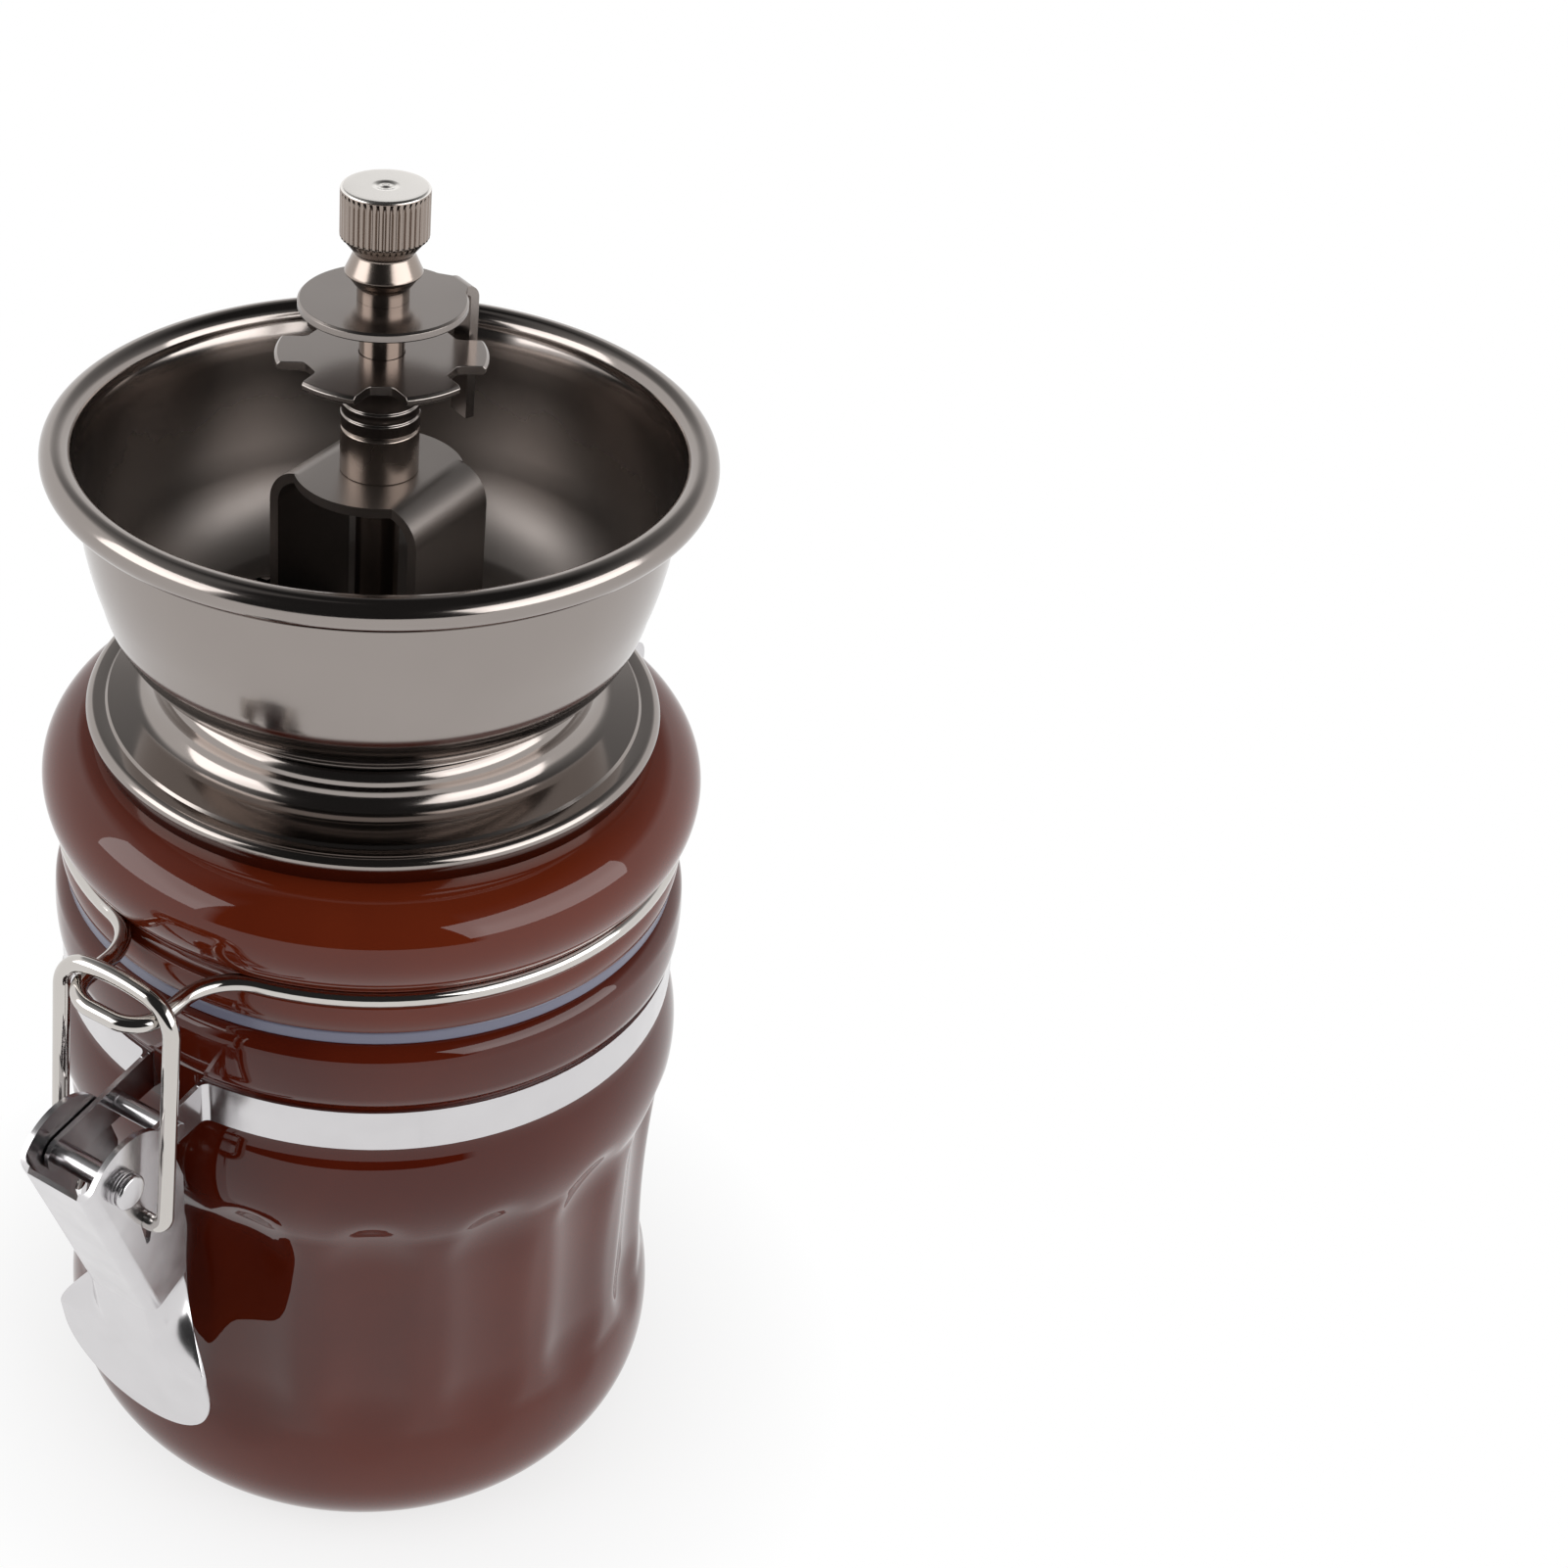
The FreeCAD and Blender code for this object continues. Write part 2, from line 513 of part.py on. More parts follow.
def make_lever():
    """Stamped from one sheet: a channel of a slanting front wall and two round-topped cheeks opens out
    below a crease into a wide flat tab with a round end. Local Y runs inwards from the pivot, Z up."""
    body = new_body("lever")
    out = S["wall_out"]
    up = S["wall_up"]
    crease_y = S["crease_in"]
    crease_z = -S["crease_down"]
    rear = S["cheek_rear"]
    reach = S["cheek_round"]
    side = S["cheek_back"] + out
    rise = up + S["crease_down"]
    wall_long = ((out + crease_y) * (out + crease_y) + rise * rise).root()
    channel = tilted_sketch(body, "XY", lean, crease_y, crease_z)
    pad(body, draw(channel, channel_outline(side + rise)), wall_long + reach)
    edge = new_sketch(body, "YZ")
    draw(edge, [
        (-(out + reach), up), (-out, up, -reach), (S["cheek_back"], -S["cheek_back_down"]),
        (rear, -S["cheek_rear_down"]), (rear, crease_z - reach), (-(out + reach), crease_z - reach)])
    far = side + rise + reach
    draw(edge, block(-far, -far, far, far))
    pocket(body, edge)
    middle = cheek_out - S["wall_bend"]
    notch = new_sketch(body, "XZ")
    pocket(body, draw(notch, block(-middle, up, middle, up + reach * 2)))
    deep = (rear - crease_y) / lean.cosine()
    bent = draw(tilted_sketch(body, "XY", lean, crease_y, crease_z), channel_outline(deep))
    tab_turn = S["tab_turn"]
    flare = S["tab_flare"]
    flat_y = crease_y + flare * tab_turn.sine()
    flat_z = crease_z - flare * tab_turn.cosine()
    r = S["tab_r"]
    corner = S["tab_corner"]
    wide = r - corner
    flat = draw(tilted_sketch(body, "XY", tab_turn, flat_y, flat_z), [
        (-wide, 0), (-cheek_out, 0), (-middle, 0), (middle, 0), (cheek_out, 0), (wide, 0), (wide, sheet),
        (cheek_in, sheet), (middle, sheet), (-middle, sheet), (-cheek_in, sheet), (-wide, sheet)])
    opened = feature(body, "AdditiveLoft", bent)
    opened.Sections = [(flat, [""])]
    opened.Ruled = True
    tab = tilted_sketch(body, "XZ", tab_turn, flat_y, flat_z)
    low = r + flare - S["tab_long"]
    draw(tab, [
        (-wide, 0, corner), (-r, -corner), (-r, low, r), (0, low - r, r), (r, low), (r, -corner, corner),
        (wide, 0)])
    pad(body, tab, sheet, back=True)
    holes = new_sketch(body, "YZ")
    ring(holes, 0, 0, S["pin_r"] + S["run_gap"])
    hook = wire_hole
    tip = S["hook_tip"]
    hook_y = S["hook_in"]
    hook_z = -S["hook_down"]
    small = hook / 3
    draw(holes, [
        (hook_y - hook, hook_z, -hook), (hook_y + hook, hook_z), (hook_y + hook, hook_z - small),
        (hook_y + small, hook_z - tip, -small), (hook_y - small, hook_z - tip),
        (hook_y - hook, hook_z - small)])
    pocket(body, holes)
    tie(body, "Placement.Base.y", pivot_y)
    tie(body, "Placement.Base.z", pivot_z)


def make_link():
    """Wire loop: arched bow across the top, two straight legs, lower ends turned in to the cheeks."""
    body = new_body("link")
    x = S["link_x"]
    end = arm_out + S["hook_gap"]
    across = S["bow_in"] - S["hook_in"]
    up = wire_z + S["bow_over"] - pivot_z + S["hook_down"]
    tall = (across * across + up * up).root()
    low = S["hook_bend"]
    high = S["link_bend"]
    side = x - high
    bow_r = high + side / S["bow_turn"].cosine()
    bow_x = bow_r * S["bow_turn"].cosine()
    bow_z = tall - bow_r + bow_r * S["bow_turn"].sine()
    leg_z = tall - bow_r + (bow_r - high) * S["bow_turn"].sine()
    path = draw(new_sketch(body, "XZ"), [
        (end, 0), (x - low, 0, low), (x, low), (x, leg_z, high), (bow_x, bow_z, bow_r), (-bow_x, bow_z, high),
        (-x, leg_z), (-x, low, low), (-x + low, 0), (-end, 0)], closed=False)
    profile = ring(new_sketch(body, "YZ", offset=end), 0, 0, S["wire_r"])
    swept(body, profile, path)
    tie(body, "Placement.Base.y", pivot_y + S["hook_in"])
    tie(body, "Placement.Base.z", pivot_z - S["hook_down"])
    body.Placement.Rotation = FreeCAD.Rotation(Vec(1, 0, 0), -1)
    tie(body, "Placement.Rotation.Angle", -across.angle(up))


def make_lid_wire():
    """Wire in the lid's groove: a nose at the front, two legs at the rear whose ends turn outwards."""
    body = new_body("lid_wire")
    r = S["wire_ring_r"]
    bend = S["leave_bend"]

    def leaving(x):
        """Centre of the bend that leaves the ring towards the line at x, and where it meets the ring."""
        far = r + bend
        centre_y = (far * far - (x + bend) * (x + bend)).root()
        return centre_y, (x + bend) * r / far, centre_y * r / far

    nose_x = S["nose_x"]
    tip = S["nose_bend"]
    nose_y, nose_on_x, nose_on_y = leaving(nose_x)
    leg_x = S["hinge_leg_x"]
    turn = S["hinge_bend"]
    leg_y, leg_on_x, leg_on_y = leaving(leg_x)
    end = S["ear_x"] + S["ear_t"] + 1.6
    path = draw(new_sketch(body, "XY", offset=wire_z), [
        (end, hinge_y), (leg_x + turn, hinge_y, turn), (leg_x, hinge_y - turn), (leg_x, leg_y, bend),
        (leg_on_x, leg_on_y, -r), (nose_on_x, -nose_on_y, bend), (nose_x, -nose_y),
        (nose_x, -S["nose_out"] + tip, -tip), (nose_x - tip, -S["nose_out"]),
        (-nose_x + tip, -S["nose_out"], -tip), (-nose_x, -S["nose_out"] + tip), (-nose_x, -nose_y, bend),
        (-nose_on_x, -nose_on_y, -r), (-leg_on_x, leg_on_y, bend), (-leg_x, leg_y),
        (-leg_x, hinge_y - turn, turn), (-leg_x - turn, hinge_y), (-end, hinge_y)], closed=False)
    profile = ring(new_sketch(body, "YZ", offset=end), hinge_y, wire_z, S["wire_r"])
    swept(body, profile, path)


def make_hinge():
    """Rear bracket: a curved plate on the band with an ear at each side that holds an end of the wire."""
    body = new_body("hinge_bracket")
    low = band_low
    high = band_top
    plate_in = band_out_r + S["plate_gap"]
    plate_out = plate_in + S["ear_t"]
    width = S["ear_x"] + S["ear_t"]
    half = width.angle(plate_in)
    root = (plate_in * plate_in - width * width).root()
    r = S["ear_r"]
    near = S["lip_r"] + S["ear_gap"]
    above = (high + S["lip_z"]) / 2
    ears = draw(new_sketch(body, "YZ"), [
        (root, low), (near + r, low), (hinge_y + r, wire_z - 1.0), (hinge_y + r, wire_z, r),
        (hinge_y - r, wire_z), (hinge_y - r, wire_z - r), (near, above + r), (near, above), (root, above)])
    pad(body, ears, width * 2, both=True)
    inside = draw(new_sketch(body, "YZ"), block(root - 6, low - 1, hinge_y + r + 5, wire_z + r + 5))
    pocket(body, inside, S["ear_x"] * 2, both=True)
    sketch = draw(new_sketch(body, "YZ"), block(plate_in, low, plate_out, high))
    plate = feature(body, "Revolution", sketch)
    plate.ReferenceAxis = (sketch, ["V_Axis"])
    plate.Midplane = True
    tie(plate, "Angle", half * 2)
    trim = draw(new_sketch(body, "XZ"), block(0, low - 1, plate_in, high + 30))
    groove = feature(body, "Groove", trim)
    groove.ReferenceAxis = (trim, ["V_Axis"])
    groove.Angle = 360.0
    holes = ring(new_sketch(body, "YZ"), hinge_y, wire_z, wire_hole)
    pocket(body, holes)
    rivet_holes(body)


def make_rivets():
    """Two small round-headed rivets through the rear bracket and the band."""
    outer = band_out_r + S["plate_gap"] + S["ear_t"]
    made = []
    for side in (1, -1):
        body = doc.addObject("PartDesign::Body", "rivet_body")
        body.Label = "rivet_one" if side > 0 else "rivet_two"
        sketch = new_sketch(body, "XY")
        start = band_r + 0.05
        head = outer + 0.02
        r = S["rivet_r"]
        big = S["rivet_head_r"]
        draw(sketch, [
            (0, start), (r, start), (r, head), (big, head), (big, head + 0.2),
            (big - 0.9, head + S["rivet_head_t"]), (0, head + S["rivet_head_t"])])
        turn = feature(body, "Revolution", sketch)
        turn.ReferenceAxis = (sketch, ["V_Axis"])
        turn.Angle = 360.0
        tie(body, "Placement.Base.z", band_z)
        tie(body, "Placement.Rotation.Angle", rivet_turn * side)
        made.append(body)
    pair = doc.addObject("Part::Compound", "hinge_rivet_pair")
    pair.Links = made
    pair.Label = "hinge_rivet"
    NODES["hinge_rivet"] = pair


def make_lid():
    """Ceramic ring: spigot, seat, small ring, groove for the wire, big bulge and a flat top with a hole."""
    body = new_body("lid")
    g = S["wire_r"] + S["groove_gap"]
    low = seat_z - S["spigot_deep"]
    turned(body, [
        (S["lid_bore_r"], low), (S["spigot_r"] - 1.2, low, 1.2), (S["spigot_r"], low + 1.2),
        (S["spigot_r"], seat_z), (S["ring_r"], seat_z, 6.0),
        (S["ring_r"], wire_z - g), (S["wire_ring_r"], wire_z - g, -g), (S["wire_ring_r"], wire_z + g),
        (S["ring_r"], wire_z + g, 9.5),
        (S["dome_ring_r"] + S["dome_r"], dome_z, S["dome_r"]), (S["dome_ring_r"], lid_top),
        (S["lid_hole_r"], lid_top), (S["lid_hole_r"], plate_under), (S["lid_bore_r"] - 1.0, plate_under),
        (S["lid_bore_r"], plate_under - 1.0)])


def make_gasket():
    """Soft ring between the lid's seat and the jar's lip, with a round outer edge."""
    body = new_body("gasket")
    inner = S["spigot_r"] + 0.15
    low = S["jar_top_z"]
    edge = S["gasket_t"] / 2
    turned(body, [
        (inner, low), (S["gasket_r"] - edge, low, edge), (S["gasket_r"] - edge, seat_z), (inner, seat_z)])


def make_base():
    """Pressed flange: flat middle under the bowl, short neck, dished skirt, rolled edge on the lid's top."""
    body = new_body("hopper_base")
    t = S["base_t"]
    top = base_top
    neck = S["base_neck_r"]
    edge = S["base_edge_r"]
    edge_z = base_edge_z
    turned(body, [
        (S["base_inner_r"], top - t), (neck - 1.6, top - t, -0.8), (neck - t, top - t - 0.8),
        (neck - t, top - 2.6, 4.6), (neck + 3.2, edge_z + 0.2 - t), (edge - 2.2, edge_z - 0.3 - t, -1.0),
        (edge - 1.4, edge_z - 1.6 - t), (edge - 2.1, lid_top), (edge - 1.0, lid_top),
        (edge, edge_z - 1.2, 1.5), (edge - 1.3, edge_z + 0.1), (edge - 3.0, edge_z),
        (edge - 3.4, edge_z + 0.35), (neck + 3.6, edge_z + 0.7, -3.8), (neck, top - 2.2, 3.0),
        (neck - 1.0, top), (S["base_inner_r"], top)])
    holes = new_sketch(body, "XY")
    for side in (-1, 1):
        ring(holes, S["foot_x"] * side, 0, screw_hole)
    pocket(body, holes)


def make_hopper():
    """Deep-drawn bowl of even sheet with a flat floor, a hole for the beans and a rolled rim."""
    body = new_body("hopper")
    t = S["bowl_t"]
    low = base_top
    side_r = S["bowl_side_r"]
    side_z = low + S["bowl_side_up"]
    lip_r = S["bowl_lip_r"]
    lip_z = low + S["bowl_lip_up"]
    tube = S["rim_tube_r"]
    rim = S["rim_ring_r"]
    z = low + S["rim_up"]
    turned(body, [
        (S["bean_hole_r"], low), (S["bowl_floor_r"], low, 19.0), (side_r, side_z, 60.0),
        (lip_r, lip_z, -9.0), (rim, z - tube, tube), (rim, z + tube, tube), (rim - tube, z, 14.0),
        (lip_r - t, lip_z, -60.0), (side_r - t, side_z + 0.3, -18.0),
        (S["bowl_floor_r"] - 0.6, low + t), (S["bean_hole_r"], low + t)])
    holes = new_sketch(body, "XY")
    for side in (-1, 1):
        ring(holes, S["foot_x"] * side, 0, screw_hole)
    pocket(body, holes)


def make_bracket():
    """Inverted U of strip: round top plate with a hole for the bush, wide bends, legs, feet turned out."""
    body = new_body("bracket")
    x = S["bracket_x"]
    t = S["bracket_t"]
    top = bracket_z
    bend = S["bracket_round"]
    tip = S["foot_x"] + S["foot_half_w"]
    strip = [
        (x - bend, top, -bend), (x, top - bend), (x, foot_top), (tip, foot_top), (tip, floor_z),
        (x - t, floor_z), (x - t, top - bend, bend - t), (x - bend, top - t),
        (-(x - bend), top - t, bend - t), (-(x - t), top - bend), (-(x - t), floor_z), (-tip, floor_z),
        (-tip, foot_top), (-x, foot_top),
        (-x, top - bend, -bend), (-(x - bend), top)]
    pad(body, draw(new_sketch(body, "XZ"), strip), S["bracket_half_w"] * 2, both=True)
    half = S["foot_half_w"]
    wide = S["bracket_half_w"] + 2.0
    foot_x = S["foot_x"]
    for s in (1, -1):
        trim = new_sketch(body, "XY", offset=floor_z - 1)
        draw(trim, [
            (x * s, -wide), ((tip + 2.0) * s, -wide), ((tip + 2.0) * s, wide), (x * s, wide), (x * s, half),
            (foot_x * s, half, -half * s), (foot_x * s, -half), (x * s, -half)])
        pocket(body, trim, S["bracket_t"] + 2.0, back=True)
    holes = new_sketch(body, "XY", offset=floor_z - 1)
    for s in (-1, 1):
        ring(holes, foot_x * s, 0, screw_hole)
    pocket(body, holes, S["bracket_t"] + 2.0, back=True)
    top_r = S["bracket_top_r"]
    chord = (top_r * top_r - S["bracket_half_w"] * S["bracket_half_w"]).root()
    for s in (1, -1):
        cheek = new_sketch(body, "XY", offset=top - t)
        draw(cheek, [(-chord, S["bracket_half_w"] * s, -top_r * s), (chord, S["bracket_half_w"] * s)])
        pad(body, cheek, t)
    bore = ring(new_sketch(body, "XY", offset=top - t - 1), 0, 0, S["bush_low_r"] + S["press_gap"])
    pocket(body, bore, t + 2, back=True)


def make_screws():
    """Two round-headed screws with a cross slot, through the feet into the burr housing."""
    made = []
    for side in (1, -1):
        body = doc.addObject("PartDesign::Body", "screw_body")
        body.Label = "screw_one" if side > 0 else "screw_two"
        head = S["screw_head_t"]
        r = S["screw_head_r"]
        turned(body, [
            (0, -S["screw_len"]), (S["screw_r"] - 0.6, -S["screw_len"]),
            (S["screw_r"], -S["screw_len"] + 1.0), (S["screw_r"], 0), (r, 0), (r, 0.7, 3.4), (r - 1.6, head),
            (0, head)])
        for turn in (0.0, 90.0):
            slot = new_sketch(body, "XY", offset=head - 1.1)
            half = S["slot_w"] / 2
            long = r * 0.62
            corners = block(-long, -half, long, half) if turn == 0.0 else block(-half, -long, half, long)
            draw(slot, corners)
            pocket(body, slot, 3.0, back=True)
        tie(body, "Placement.Base.x", S["foot_x"] * side)
        tie(body, "Placement.Base.z", foot_top)
        made.append(body)
    pair = doc.addObject("Part::Compound", "bracket_screw_pair")
    pair.Links = made
    pair.Label = "bracket_screw"
    NODES["bracket_screw"] = pair


def make_bush():
    """Sleeve on the bracket that guides the shaft, with a smaller end riveted through the plate."""
    body = new_body("shaft_bush")
    top = bush_top
    plate = bracket_z
    under = plate - S["bracket_t"]
    low = S["bush_low_r"]
    turned(body, [
        (bore_r, under - 0.8), (low + 0.5, under - 0.8), (low + 0.5, under), (low, under), (low, plate),
        (S["bush_r"], plate), (S["bush_r"], top - 0.4), (S["bush_r"] - 0.4, top), (bore_r + 0.3, top),
        (bore_r, top - 0.3)])


def make_adjuster():
    """Notched disc on a collar with fine turned grooves; it is screwed on the shaft and rests on the bush."""
    body = new_body("adjusting_nut")
    low = bush_top + S["thrust_gap"]
    under = disc_z - S["disc_t"]
    r = S["collar_r"]
    d = S["collar_ring"]
    step = (under - low) / 10
    bore = S["shaft_r"] + S["thread_gap"]
    turned(body, [
        (bore, low), (r - d, low), (r, low + d), (r, low + step * 2), (r - d, low + step * 2 + d),
        (r - d, low + step * 2.6), (r - d / 2, low + step * 2.6 + d), (r - d / 2, low + step * 3.8),
        (r - d * 1.5, low + step * 3.8 + d), (r - d * 1.5, low + step * 4.3),
        (r - d, low + step * 4.3 + d), (r - d, under), (S["disc_r"] - 0.3, under),
        (S["disc_r"], under + 0.3), (S["disc_r"], disc_z - 0.4), (S["disc_r"] - 0.4, disc_z), (bore, disc_z)])
    notch = new_sketch(body, "XY", offset=under - 0.5)
    far = S["disc_r"] + 1.2
    wide = S["notch_mouth"] + 0.5
    root = S["notch_root_r"]
    draw(notch, [
        (root + 0.5, -S["notch_half"]), (far, -wide), (far, wide), (root + 0.5, S["notch_half"]),
        (root, S["notch_half"] - 0.6), (root, -S["notch_half"] + 0.6)])
    cut = pocket(body, notch, S["disc_t"] + 1.0, back=True)
    around(body, cut, S["notch_count"])
    tie(body, "Placement.Rotation.Angle", S["notch_turn"])


def make_stopper():
    """Round plate keyed to the shaft; its tab bends down and stands in a notch of the adjusting nut."""
    body = new_body("stopper")
    top = plate_z
    t = S["plate_t"]
    plate_r = S["plate_r"]
    turned(body, [
        (0, top - t), (plate_r - 0.2, top - t), (plate_r, top - t + 0.2), (plate_r, top - 0.3),
        (plate_r - 0.3, top), (0, top)])
    near = S["key_tab_r"]
    far = near + S["key_tab_t"]
    half = S["key_tab_half"]
    web = S["key_web_half"]
    bend = S["key_bend"]
    inner = bend - S["key_tab_t"]
    start = plate_r - 2.5
    root = (plate_r * plate_r - web * web).root() - 0.5
    flank = new_sketch(body, "XY", offset=top - t)
    draw(flank, [
        (root, -web), (near - inner, -half), (near - inner, half), (root, web), (start - 1, web),
        (start - 1, -web)])
    pad(body, flank, t)
    tab = new_sketch(body, "XZ")
    draw(tab, [
        (start, top - t), (start, top), (far - bend, top, -bend), (far, top - bend),
        (far, top - S["key_tab_drop"]), (near, top - S["key_tab_drop"]), (near, top - bend, inner),
        (near - inner, top - t)])
    pad(body, tab, half * 2, both=True)
    hole = new_sketch(body, "XY", offset=top - t - 1)
    r = S["stud_r"] + S["flat_gap"]
    flat = S["flat_half"] + S["flat_gap"]
    reach = (r * r - flat * flat).root()
    draw(hole, [(reach, -flat, r), (reach, flat), (-reach, flat, r), (-reach, -flat)])
    pocket(body, hole, t + 2, back=True)
    tie(body, "Placement.Rotation.Angle", S["notch_turn"])


def make_shaft():
    """Shaft: square end for the burr, round middle in the bush, threaded top with two long flats."""
    body = new_body("drive_shaft")
    step = cone_top + S["spring_cup_t"]
    shoulder = plate_z - S["plate_t"]
    thin = S["stud_r"]
    end = cone_low - S["shaft_end"]
    turned(body, [
        (0, end), (thin - 0.5, end), (thin, end + 0.5), (thin, cone_low), (S["shaft_r"], cone_low),
        (S["shaft_r"], shoulder), (thin, shoulder), (thin, stud_z - 0.6), (thin - 0.6, stud_z), (0, stud_z)])
    far = S["shaft_r"] + 2
    low = cone_low - S["washer_t"] - 0.01
    past = stud_z - shoulder + 1
    for q, start, tall in ((S["square_half"], low, step - low), (S["flat_half"], shoulder, past)):
        flats = new_sketch(body, "XY", offset=start)
        draw(flats, block(-far, q, far, far))
        draw(flats, block(-far, -far, far, -q))
        pocket(body, flats, tall, back=True)
    sides = new_sketch(body, "XY", offset=low)
    q = S["square_half"]
    draw(sides, block(q, -far, far, far))
    draw(sides, block(-far, -far, -q, far))
    pocket(body, sides, step - low, back=True)
    tie(body, "Placement.Rotation.Angle", S["notch_turn"])


def make_thumb_nut():
    """Blind knurled nut: ribbed head with a plain top, bevel, waist, flared collar and a short neck."""
    body = new_body("thumb_nut")
    low = plate_z
    top = low + S["nut_tall"]
    r = S["nut_r"]
    waist = S["nut_waist_r"]
    head = low + S["nut_head_up"]
    bevel = low + S["nut_bevel_up"]
    flare = S["nut_flare_r"]
    flare_z = low + S["nut_flare_up"]
    neck = S["nut_neck_r"]
    neck_z = low + S["nut_neck_up"]
    bore = S["stud_r"] + S["thread_gap"]
    edge = S["rib_depth"]
    turned(body, [
        (bore, low), (neck, low), (neck, neck_z), ((neck + flare) / 2, (neck_z + flare_z) / 2 - edge),
        (flare - edge, flare_z - edge), (flare, flare_z), (flare, flare_z + edge), (waist, bevel),
        (waist + edge, bevel + edge), (r, head), (r, top - edge), (r - edge, top), (edge * 4, top),
        (edge * 3, top - edge / 3), (edge, top - edge / 3), (0, top), (0, top - S["nut_roof"]),
        (bore, top - S["nut_roof"])])
    rib = new_sketch(body, "XY", offset=bevel)
    half = r * 3.1416 / S["rib_count"]
    draw(rib, [(r - edge, 0), (r + edge, -half * 1.5), (r + edge, half * 1.5)])
    cut = pocket(body, rib, top - bevel - edge * 2.2, back=True)
    around(body, cut, S["rib_count"])


def make_housing():
    """Burr housing: tube through the lid's hole with a flange under the lid, tapped holes for the
    bracket's screws, a three-armed guide for the shaft and a bore for the outer burr."""
    body = new_body("burr_housing")
    r = S["housing_r"]
    bore = S["housing_bore_r"]
    low = lid_top - S["housing_deep"]
    seat = S["burr_r"] + S["press_gap"]
    seat_top = burr_top + S["press_gap"] * 2
    hub_tall = S["hub_tall"]
    top = base_under
    flange = S["housing_flange_r"]
    flange_low = plate_under - S["housing_flange_t"]
    turned(body, [
        (bore, top), (bore, seat_top), (seat, seat_top), (seat, low),
        (r - 0.8, low), (r, low + 0.8), (r, flange_low), (flange - 0.6, flange_low),
        (flange, flange_low + 0.6), (flange, plate_under), (r, plate_under), (r, top)])
    hub = new_sketch(body, "XY", offset=hub_low)
    ring(hub, 0, 0, S["hub_r"])
    pad(body, hub, hub_tall)
    w = S["spoke_w"] / 2
    for turn in (90.0, 210.0, 330.0):
        spoke = new_sketch(body, "XY", offset=hub_low + 1.0)
        a = Size(turn, repr(turn))
        c = a.cosine()
        s = a.sine()
        near = bore_r + 1.0
        far = bore + 1.0
        draw(spoke, [
            (near * c + w * s, near * s - w * c), (far * c + w * s, far * s - w * c),
            (far * c - w * s, far * s + w * c), (near * c - w * s, near * s + w * c)])
        pad(body, spoke, hub_tall - 2.0)
    hole = ring(new_sketch(body, "XY", offset=hub_low - 1), 0, 0, bore_r)
    pocket(body, hole, hub_tall + 3, back=True)
    taps = new_sketch(body, "XY", offset=top - S["screw_len"] + 1.5)
    for side in (-1, 1):
        ring(taps, S["foot_x"] * side, 0, S["screw_r"] + S["thread_gap"])
    pocket(body, taps, S["screw_len"], back=True)


def make_outer_burr():
    """Ceramic ring pressed into the housing; its ridged bore widens to the grinding mouth."""
    body = new_body("outer_burr")
    low = burr_low
    top = burr_top
    throat = S["burr_throat_r"]
    throat_z = top - S["burr_throat"]
    turned(body, [
        (throat, top), (throat, throat_z), (S["burr_mouth_r"], low), (S["burr_r"], low), (S["burr_r"], top)])
    d = S["ridge_depth"]
    sketch = new_sketch(body, "XZ")
    draw(sketch, [
        (throat - 3.0, low - 1), (S["burr_mouth_r"] + 0.2, low - 1), (throat + d, throat_z),
        (throat + d, top + 1), (throat - 3.0, top + 1)])
    cut = pocket(body, sketch, 1.6, both=True)
    around(body, cut, S["ridge_count"])


def make_inner_burr():
    """Ceramic cone with ridges, steep above for cracking and slow below for grinding; square bore."""
    body = new_body("inner_burr")
    low = cone_low
    top = cone_top
    mid = cone_mid
    turned(body, [
        (0, low), (S["cone_low_r"] - 0.6, low), (S["cone_low_r"], low + 0.6), (S["cone_mid_r"], mid),
        (S["cone_top_r"], top), (0, top)])
    d = S["ridge_depth"]
    sketch = new_sketch(body, "XZ")
    draw(sketch, [
        (S["cone_low_r"] - 0.1, low + 2.0), (S["cone_low_r"] + 3, low + 2.0), (S["cone_low_r"] + 3, top + 1),
        (S["cone_top_r"] - d, top + 1), (S["cone_mid_r"] - d, mid)])
    cut = pocket(body, sketch, 1.4, both=True)
    around(body, cut, S["ridge_count"])
    q = S["square_half"] + S["square_gap"]
    square = draw(new_sketch(body, "XY", offset=low - 1), block(-q, -q, q, q))
    pocket(body, square, top - low + 2, back=True)
    tie(body, "Placement.Rotation.Angle", S["notch_turn"])


def make_burr_fixings():
    """Washer and hexagon nut below the cone, and the small cup between cone and spring."""
    low = cone_low
    washer = new_body("burr_washer")
    bore = S["stud_r"] + 0.7
    turned(washer, block(bore, low - S["washer_t"], S["washer_r"], low))
    nut = new_body("burr_nut")
    top = low - S["washer_t"]
    half = S["burr_nut_half"]
    corner = half * 1.1547
    hexagon = new_sketch(nut, "XY", offset=top - S["burr_nut_t"])
    draw(hexagon, [
        (corner, 0), (corner / 2, half), (-corner / 2, half), (-corner, 0), (-corner / 2, -half),
        (corner / 2, -half)])
    ring(hexagon, 0, 0, S["stud_r"] + S["thread_gap"])
    pad(nut, hexagon, S["burr_nut_t"])
    cup = new_body("spring_washer")
    base = cone_top
    turned(cup, block(S["shaft_r"] + 0.15, base, S["spring_r"] + 1.0, base + S["spring_cup_t"]))


